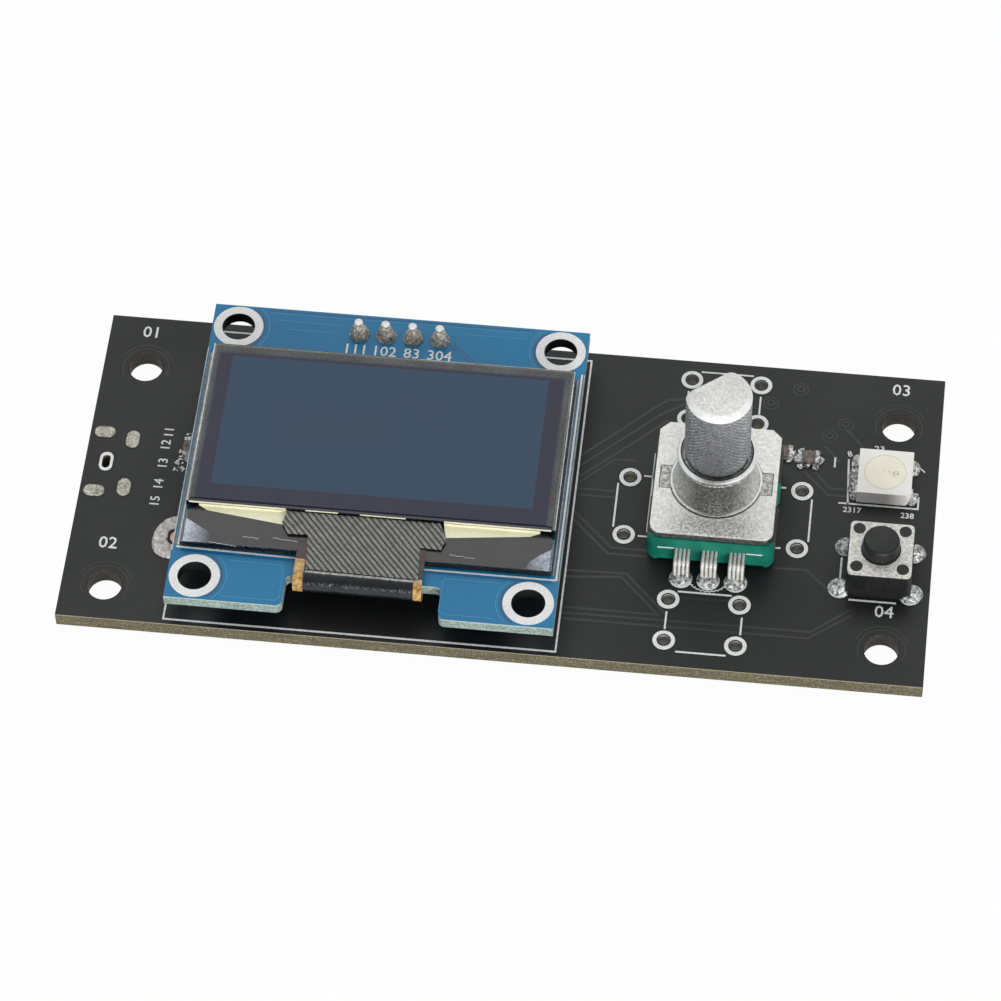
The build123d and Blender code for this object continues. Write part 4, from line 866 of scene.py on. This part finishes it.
# Rims of the glass: light caught in the clear sheets shows as pale and dark lines along their
# edges, made as strips a few hundredths of a millimetre thick. The front edge is cream.
rim_pale, rim_olive, rim_teal, rim_dark = [
    mottled_material(
        name, dark, light, cloud=350, grain=2600, share=0.4, smooth=0.15, rough=0.35, relief=4e-6,
    )
    for name, dark, light in (
        ("rim_pale", "7f8f92", "f2f6f4"), ("rim_olive", "4b4c44", "7d7e73"), ("rim_teal", "1d4152", "4c7280"),
        ("rim_dark", "1b1d26", "2c2c3b"),
    )
]
glass_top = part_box("front_glass")[1].z / MM
pale_rims, olive_rims, dark_rims, teal_rims = [bmesh.new() for i in range(4)]
for shape, x, width, low_y, high_y, level in (
    (pale_rims, -29.31, 0.08, -11.6, 11.6, display_top), (olive_rims, -29.05, 0.2, -11.0, 11.0, display_top),
    (pale_rims, -28.83, 0.16, -11.0, 11.0, display_top), (dark_rims, -28.68, 0.1, -11.0, 11.0, display_top),
    (pale_rims, -28.5, 0.12, -7.1, 10.95, glass_top), (olive_rims, -28.34, 0.16, -7.1, 10.9, glass_top),
    (olive_rims, 4.66, 0.08, -7.0, 10.8, glass_top), (pale_rims, 4.88, 0.06, -7.1, 10.9, glass_top),
    (olive_rims, 5.05, 0.14, -7.1, 10.9, glass_top), (pale_rims, 5.23, 0.09, -7.1, 10.95, glass_top),
    (dark_rims, 5.36, 0.16, -11.0, 11.2, display_top), (pale_rims, 5.47, 0.05, -11.0, 11.2, display_top),
    (teal_rims, 5.59, 0.18, -11.3, 11.2, display_top), (teal_rims, 5.95, 0.12, -11.6, 11.6, display_top),
    (pale_rims, 6.02, 0.05, -11.6, 11.8, display_top),
):
    add_block(shape, width, high_y - low_y, 0.02, x, (low_y + high_y) / 2, level)
add_block(olive_rims, 33.4, 0.3, 0.015, display_x, 10.82, glass_top)
add_block(pale_rims, 14.0, 0.05, 0.02, -2.2, 10.97, glass_top)
add_block(dark_rims, 33.3, 0.34, 0.02, display_x, -6.92, glass_top)
add_piece("glass_rims_pale", pale_rims, rim_pale)
add_piece("glass_rims_olive", olive_rims, rim_olive)
add_piece("glass_rims_dark", dark_rims, rim_dark)
add_piece("glass_rims_teal", teal_rims, rim_teal)
front_lines = bmesh.new()
for low_x, high_x, low_z, high_z in (
    (-28.3, -19.4, 9.14, glass_top), (-17.6, -14.6, 9.2, glass_top), (-12.6, -8.4, 9.2, glass_top),
    (-4.9, 4.9, 9.14, glass_top), (-27.4, -19.3, 8.68, 9.04), (-4.9, 3.9, 8.68, 9.04),
):
    add_block(front_lines, high_x - low_x, 0.03, high_z - low_z, (low_x + high_x) / 2, -7.11, low_z)
add_piece("glass_front_lines", front_lines, cream)

# Flecks on the ledge: the ends of the glass's fine tracks show as rows of small white marks, each
# a short bar that lies 0.05 mm above the ledge.
flecks = bmesh.new()
for row_x, row_y, count, step in (
    (-22.9, -10.15, 9, 0.17), (-20.2, -10.05, 14, 0.17), (-25.9, -11.07, 15, 0.17), (-4.0, -10.3, 12, 0.2),
):
    for i in range(count):
        wobble = noise.noise(Vector((row_x + i * 0.9, row_y, 0)))
        spot = Vector((row_x + i * step, row_y - 0.015 * i + 0.12 * wobble))
        add_path(
            flecks, [spot, spot + Vector((0.05 + 0.08 * abs(wobble), 0.03))], 0.05, 0.01, ledge_top + 0.05,
        )
add_piece("ledge_flecks", flecks, white_ink)

# The cover tape is a grey woven tape over the driver chip and the film, with dark slanting
# threads. It is stuck down by hand, wide at the glass and narrow where it goes over the edge.
tape, tree, shader, place = start_material("striped_tape")
slant = add_node(tree, "ShaderNodeMapping", {"Vector": place, "Rotation": (0, 0, math.radians(49))})
threads = add_node(tree, "ShaderNodeTexWave", {
    "Vector": slant.outputs["Vector"], "Scale": 700.0, "Distortion": 0.8, "Detail": 2.0, "Detail Scale": 2.0,
}, bands_direction="Y").outputs["Fac"]
thread_mask = stretch(tree, threads, 0.02, 0.4)
tape_skin = add_mottle(
    tree, place, "696962", "9a9a92", cloud=900, grain=3600, share=0.6, smooth=0.5, rough=0.75,
)
tape_shade = blend_colours(tree, thread_mask, paint("1d1d1a"), tape_skin["Color"])
tape_normal = add_relief(tree, thread_mask, tape_skin["Normal"], 0.04)
finish_material(tree, shader, tape_shade, tape_skin["Roughness"], tape_normal)
dress(tape, "cover_tape")

cover = bmesh.new()
add_sheet(cover, [
    (-19.23, -7.15), (-19.59, -8.41), (-18.89, -9.57), (-17.06, -9.5), (-16.76, -13.2), (-6.54, -13.35),
    (-6.77, -9.91), (-4.85, -9.93), (-4.51, -8.9), (-5.22, -7.15),
], 0.07, 8.96)
tape_back, cut_spacing = -7.15, 0.262
for line in range(1, 24):
    bmesh.ops.bisect_plane(
        cover, geom=cover.verts[:] + cover.edges[:] + cover.faces[:],
        plane_co=(0, (tape_back - line * cut_spacing) * MM, 0), plane_no=(0, 1, 0),
    )
chip_edge, chip_slope, chip_drop, curl_start, curl_drop = -9.1, 0.9, 0.13, -12.6, 0.06
for vert in cover.verts:
    y = vert.co.y / MM
    slope = min(1.0, max(0.0, (chip_edge - y) / chip_slope))
    drop = chip_drop * slope + curl_drop * max(0.0, curl_start - y) ** 1.5
    vert.co.z += (0.03 * noise.noise(vert.co / MM * 0.6) - drop) * MM
cover_sheet = add_piece("cover_tape_sheet", cover, tape, smooth_angle=40)
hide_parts("cover_tape")

# The film (flex cable) is amber polyimide with copper inside. It leaves the ledge, bends down
# through the notch and ends under the display board, with a black cover film on its middle.
flex, tree, shader, place = start_material("amber_film")
flex_parts = split(tree, place)
gold = add_mottle(
    tree, place, "6b3f14", "e9bf72", cloud=900, grain=3000, share=0.6, smooth=0.18, rough=0.4, relief=2e-5,
)
black_film = add_mottle(
    tree, place, "08090c", "191b22", cloud=400, grain=3600, share=0.4, smooth=0.15, rough=0.35,
)
brown_film = add_mottle(
    tree, place, "1d1416", "3d2823", cloud=700, grain=3600, share=0.5, smooth=0.15, rough=0.35,
)
covered = add_band(tree, flex_parts["X"], -16.95, -6.9, 0.05)
left_of_film = add_band(tree, flex_parts["X"], -30, -12, 0.1)
gold_right, gold_left = -0.01335, -0.0121
gold_from = add_node(
    tree, "ShaderNodeMapRange", {"Value": left_of_film, "To Min": gold_right, "To Max": gold_left},
).outputs[0]
on_ledge = calculate(tree, "GREATER_THAN", flex_parts["Y"], gold_from)
flex_edge = blend_colours(tree, on_ledge, gold["Color"], brown_film["Color"])
flex_shade = blend_colours(tree, covered, flex_edge, black_film["Color"])
flex_rough = blend_values(tree, covered, gold["Roughness"], black_film["Roughness"])
finish_material(tree, shader, flex_shade, flex_rough, gold["Normal"])
dress(flex, "flex_cable")
# A pale speckled bar along the top of the film's bend: a painted highlight on the fold.
fold_highlight_grey = mottled_material(
    "fold_highlight_grey", "0c0c0d", "d8d8d4", cloud=2600, grain=5000, share=0.5, smooth=0.3, rough=0.5, relief=2e-5,
)
fold = bmesh.new()
add_path(fold, [(-16.7, -13.42), (-6.6, -13.57)], 0.22, 0.03, 8.755)
add_piece("film_fold_highlight", fold, fold_highlight_grey)

# The encoder has a green moulded base, its sides darkened by painted shade under the cap's
# folds, and a stamped bright steel cap. Two pale lines on the base's front are the edges of the
# contact plate inside it.
green, tree, shader, place = start_material("green_base")
green_skin = add_mottle(tree, place, "056350", "11846c", cloud=400, grain=5200, smooth=0.38, rough=0.55)
# A dark grey copy for the side faces: painted shade under the cap's folds.
shaded_skin = add_mottle(tree, place, "0c0c0b", "4a4945", grain=3000, share=0.6)
green_depth = split(tree, place)["Y"]
green_normal = add_node(tree, "ShaderNodeNewGeometry").outputs["Normal"]
green_across = split(tree, green_normal)["Y"]
green_facing = calculate(tree, "ABSOLUTE", green_across)
green_side = calculate(tree, "SUBTRACT", 1.0, green_facing)
shaded = both(tree, add_band(tree, green_depth, -5.4, 9.0, 0.2), green_side)
green_shade = blend_colours(tree, shaded, green_skin["Color"], shaded_skin["Color"])
finish_material(tree, shader, green_shade, green_skin["Roughness"], green_skin["Normal"])
dress(green, "encoder_base")
steel, tree, shader, place = start_material("bright_steel")
steel_skin = add_mottle(
    tree, place, "cfcdc4", "ffffff", cloud=1500, grain=3600, share=0.85, smooth=0.3, rough=0.5, relief=4e-5,
)
# A dimmer patch on the cap in front of the shaft is a painted reflection of the shaft.
shaft_reflection_skin = add_mottle(tree, place, "8d8d8c", "fdfbf6", cloud=1500, grain=4200, share=0.95)
steel_parts = split(tree, place)
shaft_reflection_patch = both(
    tree, add_band(tree, steel_parts["X"], 15.6, 23.0, 2.2), add_band(tree, steel_parts["Y"], -7.5, -4.3, 1.4)
)
top_skin = blend_colours(tree, shaft_reflection_patch, steel_skin["Color"], shaft_reflection_skin["Color"])
# A dark band on the cap's folded sides is painted shade, with a thin pale line across it as a painted
# highlight.
fold_shade_skin = add_mottle(tree, place, "1a1917", "8d8a80", cloud=1500, grain=3000, share=0.7)
fold_shade_band = add_band(tree, steel_parts["Z"], 7.6, 9.0, 0.04)
bracket_edge_highlight = add_band(tree, steel_parts["Z"], 8.45, 8.62, 0.04)
painted_fold_shade = calculate(tree, "SUBTRACT", fold_shade_band, bracket_edge_highlight, use_clamp=True)
steel_shade = blend_colours(tree, painted_fold_shade, top_skin, fold_shade_skin["Color"])
finish_material(tree, shader, steel_shade, steel_skin["Roughness"], steel_skin["Normal"], 0.2)
dress(steel, "encoder_bracket")
cover_steel = mottled_material(
    "cover_steel", "aeaca3", "f8f7f2", metallic=0.2, cloud=1500, grain=3600, share=0.8, smooth=0.3,
    rough=0.5, relief=4e-5,
)
dress(cover_steel, "button_cover")


def soften_edges(width_mm, *nodes):
    """Weld CAD nodes and round their sharp edges a little."""
    for name in nodes:
        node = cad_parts[name]
        node.modifiers.new("weld", "WELD").merge_threshold = 1e-6
        rounding = node.modifiers.new("round", "BEVEL")
        rounding.width = width_mm * MM
        rounding.segments = 2
        rounding.limit_method = "ANGLE"
        rounding.angle_limit = math.radians(50)
        rounding.use_clamp_overlap = True


soften_edges(0.09, "encoder_bracket")
encoder_x = 19.3
encoder_base_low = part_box("encoder_base")[0]
plate_edges = bmesh.new()
for low_x, high_x in ((14.5, 16.0), (22.6, 24.05)):
    middle_x = (low_x + high_x) / 2
    add_block(
        plate_edges, high_x - low_x, 0.05, 0.14, middle_x, encoder_base_low.y / MM - 0.01, board_top + 2.25,
    )
add_piece("contact_plate_edges", plate_edges, white_ring)

# The bushing is a die casting whose neck is turned: a hollow sweep from the flange up to a
# rounded rim with a shallow groove below it, the rim painted bright at its sides as highlight and
# darker in its middle as a painted reflection. This skin lies over the plain casting.
zinc, tree, shader, place = start_material("die_cast_zinc")
zinc_front_shade = add_mottle(
    tree, place, "343433", "7a7a77", cloud=900, grain=4200, share=0.85, smooth=0.3, rough=0.48, relief=5e-5,
)
zinc_side_highlight = add_mottle(tree, place, "aeaeaa", "ffffff", grain=4200, share=0.85)
zinc_top_shade = add_mottle(tree, place, "707070", "dededa", grain=3600, share=0.95)
# Colour by facing: front faces are painted darker as a reflection, the sides painted bright as highlight, and
# upward faces in a third, mid-grey copy.
zinc_normal = add_node(tree, "ShaderNodeNewGeometry").outputs["Normal"]
zinc_facing = split(tree, zinc_normal)
zinc_front = stretch(tree, zinc_facing["Y"], -0.3, -0.9)
zinc_up = stretch(tree, zinc_facing["Z"], 0.8, 0.95)
zinc_side = blend_colours(tree, zinc_front, zinc_side_highlight["Color"], zinc_front_shade["Color"])
zinc_shade = blend_colours(tree, zinc_up, zinc_side, zinc_top_shade["Color"])
finish_material(tree, shader, zinc_shade, zinc_front_shade["Roughness"], zinc_front_shade["Normal"], 0.5)
dress(zinc, "encoder_bushing")
bracket_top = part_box("encoder_bracket")[1].z / MM
neck_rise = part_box("encoder_bushing")[1].z / MM - bracket_top
neck = bmesh.new()
add_turned(neck, [
    (4.21, 0.05), (4.22, 0.12), (4.15, 0.18), (4.07, 0.16), (4.02, 0.12), (3.97, 0.2), (3.94, 0.3),
    (3.87, 0.55), (3.78, 0.95), (3.7, 1.4), (3.63, 1.95), (3.57, 2.5), (3.52, 3.0), (3.48, neck_rise - 1.1),
    (3.47, neck_rise - 1.0), (3.56, neck_rise - 0.92), (3.58, neck_rise - 0.82), (3.54, neck_rise - 0.72),
    (3.46, neck_rise - 0.66), (3.44, neck_rise - 0.5), (3.46, neck_rise - 0.3),
], encoder_x, 0, bracket_top, 96)
add_piece("bushing_skin", neck, zinc, smooth_angle=45)
rim_highlight_and_shade, tree, shader, place = start_material("rim_highlight_and_shade")
rim_painted_highlight = add_mottle(
    tree, place, "dededa", "ffffff", cloud=1200, grain=4200, share=0.6, smooth=0.25, rough=0.45,
)
rim_painted_shade = add_mottle(tree, place, "6e6e6e", "b4b4b2", grain=3000, share=0.6)
rim_run = split(tree, place)["X"]
# The middle of the rim along X is painted darker as a reflection; the rest is painted bright as highlight.
rim_shade_band = add_band(tree, rim_run, encoder_x - 1.3, encoder_x + 1.3, 1.2)
rim_shade = blend_colours(tree, rim_shade_band, rim_painted_highlight["Color"], rim_painted_shade["Color"])
finish_material(tree, shader, rim_shade, rim_painted_highlight["Roughness"], rim_painted_highlight["Normal"], 0.15)
rims = bmesh.new()
add_turned(rims, [
    (3.4, 0), (3.52, 0.02), (3.62, 0.1), (3.65, 0.22), (3.6, 0.34), (3.48, 0.42), (3.34, 0.44), (3.24, 0.4),
    (3.2, 0.3), (3.2, 0.1),
], encoder_x, 0, bracket_top + neck_rise - 0.42, 96, closed=True)
add_ring(rims, encoder_x, 0, 4.16, 4.02, 0.06, bracket_top + 0.16, 96)
add_piece("bushing_rim", rims, rim_highlight_and_shade, smooth_angle=60)
# A near-black ring inside the rim, round the shaft, is the painted shadow in the bore.
mouth = bmesh.new()
add_ring(mouth, encoder_x, 0, 3.36, 3.2, 0.02, bracket_top + neck_rise - 0.005, 96)
add_piece("bushing_mouth_shadow", mouth, dark_gap_and_shade)

# The shaft is turned from bar, 6 mm across, with a flat on its upper 7 mm. Its side carries a
# fine crossed knurl, its end a wide chamfer and a small centre mark; the end and the chamfer are
# painted near-white as highlight.
crossed, crossed_in, crossed_out = add_group("crossed_knurl", [
    ("Vector", "NodeSocketVector", None), ("Pitch", "NodeSocketFloat", 0.0004),
    ("Radius", "NodeSocketFloat", 0.003),
], [("Height", "NodeSocketFloat")])
knurl_parts = split(crossed, crossed_in.outputs["Vector"])
knurl_angle = calculate(crossed, "ARCTAN2", knurl_parts["Y"], knurl_parts["X"])
knurl_run = both(crossed, knurl_angle, crossed_in.outputs["Radius"])
waves = []
for kind in ("ADD", "SUBTRACT"):
    lead = calculate(crossed, kind, knurl_run, knurl_parts["Z"])
    turns = calculate(crossed, "DIVIDE", lead, crossed_in.outputs["Pitch"])
    phase = calculate(crossed, "MULTIPLY", turns, math.tau)
    waves.append(calculate(crossed, "SINE", phase))
crossing = calculate(crossed, "ADD", waves[0], waves[1])
knurl_height = stretch(crossed, crossing, -1.6, 1.6)
crossed.links.new(knurl_height, crossed_out.inputs["Height"])

shaft_grey, tree, shader, place = start_material("shaft_grey")
shaft_low, shaft_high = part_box("encoder_shaft")
shaft_top = shaft_high.z / MM
on_axis = add_node(tree, "ShaderNodeMapping", {"Vector": place, "Location": (-encoder_x * MM, 0, 0)})
knurl = fill(tree, crossed, {"Vector": on_axis.outputs["Vector"], "Pitch": 0.00046}).outputs["Height"]
side_skin = add_mottle(
    tree, place, "808083", "ececea", cloud=900, grain=3600, share=0.8, smooth=0.3, rough=0.5, relief=4e-5,
)
# The front-facing side is painted darker as shade, the other sides lighter as highlight.
shaft_front_shade = add_mottle(tree, place, "4c4c4f", "929294", cloud=900, grain=3600, share=0.8)
end_highlight = add_mottle(tree, place, "d0cfc9", "fcfcf8", cloud=900, grain=4800, share=0.9)
chamfer_highlight = add_mottle(tree, place, "e4e3de", "ffffff", cloud=900, grain=3600, share=0.5)
shaft_level = split(tree, place)["Z"]
side_part = add_band(tree, shaft_level, 0, shaft_top - 0.62, 0.1)
chamfer_part = add_band(tree, shaft_level, shaft_top - 0.62, shaft_top - 0.03)
shaft_normals = add_node(tree, "ShaderNodeNewGeometry").outputs["Normal"]
shaft_facing = split(tree, shaft_normals)["Y"]
shaft_front = stretch(tree, shaft_facing, -0.6, -1.0)
side_shade = blend_colours(tree, shaft_front, side_skin["Color"], shaft_front_shade["Color"])
# The knurl's grooves are painted darker as shade.
knurl_shade = blend_colours(tree, knurl, paint("6a6a6e"), side_shade)
end_shade = blend_colours(tree, chamfer_part, end_highlight["Color"], chamfer_highlight["Color"])
shaft_shade = blend_colours(tree, side_part, end_shade, knurl_shade)
shaft_normal = add_relief(tree, both(tree, knurl, side_part), side_skin["Normal"], 0.012)
finish_material(tree, shader, shaft_shade, side_skin["Roughness"], shaft_normal)
tree.links.new(blend_values(tree, side_part, 0.0, 0.4), shader.inputs["Metallic"])
dress(shaft_grey, "encoder_shaft")


def cut_flat(shape, x, y, heading, distance):
    """Cut a flat on a turned form, facing the heading, and close it."""
    facing = Vector((math.cos(math.radians(heading)), math.sin(math.radians(heading)), 0))
    made = bmesh.ops.bisect_plane(
        shape, geom=shape.verts[:] + shape.edges[:] + shape.faces[:], dist=1e-8,
        plane_co=Vector((x * MM, y * MM, 0)) + facing * distance * MM, plane_no=facing, clear_outer=True,
    )
    edges = [item for item in made["geom_cut"] if isinstance(item, bmesh.types.BMEdge)]
    bmesh.ops.holes_fill(shape, edges=edges)


flat_z, collar_z, shoulder_z, key_z = 15.6, 14.4, 8.7, shaft_low.z / MM
shaft_shape = bmesh.new()
add_turned(shaft_shape, [
    (0, flat_z), (2.98, flat_z), (2.98, shaft_top - 0.55), (2.93, shaft_top - 0.46), (2.52, shaft_top - 0.05),
    (2.42, shaft_top), (0.42, shaft_top), (0.36, shaft_top - 0.06), (0.28, shaft_top - 0.06),
    (0.22, shaft_top), (0.14, shaft_top), (0, shaft_top - 0.1),
], encoder_x, 0, 0, 96)
cut_flat(shaft_shape, encoder_x, 0, 127, 1.5)
collar = bmesh.new()
add_turned(collar, [
    (0, flat_z), (3.0, flat_z), (3.0, collar_z + 0.08), (2.92, collar_z), (2.8, collar_z), (2.8, shoulder_z),
    (0, shoulder_z),
], encoder_x, 0, 0, 96)
join(shaft_shape, collar)
key = bmesh.new()
add_turned(
    key, [(0, shoulder_z), (2.0, shoulder_z), (2.0, key_z + 0.1), (1.9, key_z), (0, key_z)], encoder_x, 0, 0,
    64,
)
for heading in (0, 180):
    cut_flat(key, encoder_x, 0, heading, 1.35)
join(shaft_shape, key)
turned_shaft = add_piece("turned_shaft", shaft_shape, shaft_grey, "shaft", smooth_angle=35)
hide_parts("encoder_shaft")

# The click domes under the shaft and under the button's plunger are sprung from thin steel. Each
# lies loose on its seat.
button_x, button_y = 34.75, -4.95
dome_sheet = 0.08
for name, node, x, y, seat, radius, rise, joint, keep in (
    ("encoder_click_dome", "encoder_dome", encoder_x, 0, 4.95, 2.2, 0.52, "encoder_push", 0.07),
    ("button_click_dome", "button_dome", button_x, button_y, 5.1, 2.3, 0.5, "button_press", 0.5),
):
    inner = radius * math.sqrt(1 - dome_sheet / rise)
    outside = [(radius * i / 8, rise * (1 - (i / 8) ** 2)) for i in range(9)]
    inside = [(inner * i / 8, (rise - dome_sheet) * (1 - (i / 8) ** 2)) for i in range(8, -1, -1)]
    dome_shape = bmesh.new()
    add_turned(dome_shape, outside + inside, x, y, seat, 48)
    dome = add_piece(name, dome_shape, socket_steel, smooth_angle=40)
    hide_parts(node)
    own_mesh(dome)

# The encoder's terminals are stamped from tinned brass. Each front one has four ridges pressed
# along it and over its bend, and ends in a rough lump of solder on its pad. The front ones are
# painted darker than the rear as shade, and their ridges brighter as highlight.
dress(dull_tin_and_shade, "encoder_front_terminals")
dress(tin, "encoder_rear_terminals")
ridge_highlight_tin = mottled_material(
    "ridge_highlight_tin", "d2d0c8", "ffffff", metallic=0.15, cloud=1300, grain=4500, share=0.5, smooth=0.25,
    rough=0.45, relief=3e-5,
)


def add_wire(shape, places, radius):
    """A round wire through places given in millimetres."""
    curve = bpy.data.curves.new("wire", "CURVE")
    curve.dimensions = "3D"
    curve.bevel_depth = radius * MM
    curve.bevel_resolution = 2
    run = curve.splines.new("POLY")
    run.points.add(len(places) - 1)
    for point, place in zip(run.points, places):
        point.co = [part * MM for part in place] + [1]
    take_curve(shape, curve, Matrix.Identity(4))


ridges = bmesh.new()
feet = bmesh.new()
pad_rims = bmesh.new()
bend = [math.radians(angle) for angle in range(90, -1, -15)]
bent = [(-7.15 - 0.35 * math.cos(a), 1.85 + 0.35 * math.sin(a)) for a in bend]
ridge_side = [(-5.85, 2.2), *bent, (-7.5, 0.2)]
terminal_pitch, foot_y, ridge_radius = 2.5, -7.6, 0.155
for terminal_x in (encoder_x - terminal_pitch, encoder_x, encoder_x + terminal_pitch):
    for shift in (-0.57, -0.19, 0.19, 0.57):
        add_wire(ridges, [(terminal_x + shift, y, board_top + rise) for y, rise in ridge_side], ridge_radius)
    add_blob(feet, terminal_x, foot_y, board_top, 0.92, 0.55, 0.3, 3.2)
    add_ring(pad_rims, terminal_x, foot_y, 1.06, 0.88, 0.05, board_top, 40)
add_piece("terminal_ridges", ridges, ridge_highlight_tin, smooth_angle=50)
add_piece("terminal_solder", feet, solder, smooth_angle=60)

# The push button is black moulded plastic under a bright steel cover, with a turned plunger and
# four lumps of solder at its legs.
nub_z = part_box("button_plunger")[0].z / MM - board_top
plunger = bmesh.new()
add_turned(plunger, [
    (0, nub_z), (0.8, nub_z), (0.8, 2.35), (2.25, 2.35), (2.25, 3.15), (1.75, 3.15), (1.75, 3.55),
    (1.72, 4.0), (1.67, 4.7), (1.62, 4.87), (1.53, 4.96), (1.4, 5.0), (0, 5.0),
], button_x, button_y, board_top, 72)
turned_plunger = add_piece(
    "turned_plunger", plunger, moulded_black, "plunger", smooth_angle=40,
)
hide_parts("button_plunger")
button_solder = bmesh.new()
for x, y, radius in ((31.5, -2.6, 0.82), (31.25, -7.25, 0.95), (37.8, -2.9, 0.78), (37.7, -7.5, 0.88)):
    add_blob(button_solder, x, y, board_top, radius, 0.6, 0.22, 3.0)
    add_ring(pad_rims, x, y, radius + 0.1, radius - 0.08, 0.06, board_top, 40)
add_piece("button_solder", button_solder, solder, smooth_angle=60)
add_piece("solder_pad_rims", pad_rims, white_ring, smooth_angle=40)

# The lamp is a white moulded housing with clear resin over its light chips, on four leads. The
# resin's rim and the tiny chips and wires below it show as faint marks.
white_plastic = mottled_material("white_plastic", "f4f1e4", "ffffff", cloud=500, grain=5200)
dress(white_plastic, "lamp_housing")
soften_edges(0.08, "lamp_housing")
resin = mottled_material(
    "lamp_resin", "f2ecd4", "fffbea", cloud=500, grain=5200, smooth=0.15, rough=0.3, relief=4e-6,
)
resin_rim = mottled_material(
    "resin_rim", "dcd8c0", "ebe7d0", cloud=500, grain=5200, smooth=0.3, rough=0.5, relief=4e-6,
)
mark_tan = mottled_material("mark_tan", "6b644c", "98906f", cloud=1500, smooth=0.3, rough=0.5, relief=4e-6)
dress(resin, "lamp_lens")
lamp_x, lamp_y = 34.6, 5.05
lamp_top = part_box("lamp_housing")[1].z / MM
lens_rim = bmesh.new()
add_ring(lens_rim, lamp_x, lamp_y, 1.95, 1.86, 0.01, lamp_top, 64)
add_piece("lamp_lens_rim", lens_rim, resin_rim)
chip_marks = bmesh.new()
for x, y, length, width, turn in (
    (0.95, -0.2, 0.5, 0.05, 10), (0.95, 0.1, 0.5, 0.05, 10), (0.72, -0.05, 0.05, 0.34, 10),
    (1.2, -0.05, 0.05, 0.34, 10), (0.3, 0.1, 0.18, 0.05, 60), (0.45, -0.15, 0.15, 0.05, -30),
    (-0.15, 0.2, 0.15, 0.05, 40), (0.8, -0.42, 0.2, 0.05, 0),
):
    add_block(chip_marks, length, width, 0.006, lamp_x + x, lamp_y + y, lamp_top, turn)
add_piece("lamp_chip_marks", chip_marks, mark_tan)
lamp_solder = bmesh.new()
for x, y in (
    (-2.65, 2.2), (-2.75, 1.5), (-2.8, 0.8), (-2.85, 0.1), (-2.8, -0.6), (-2.8, -1.3), (-2.7, -1.9),
    (2.7, 1.9), (2.65, 1.4), (2.72, -1.6), (2.6, -2.0),
):
    add_blob(lamp_solder, lamp_x + x, lamp_y + y, board_top, 0.45, 0.55, 0.24, 4.0)
add_piece("lamp_solder", lamp_solder, solder, smooth_angle=60)
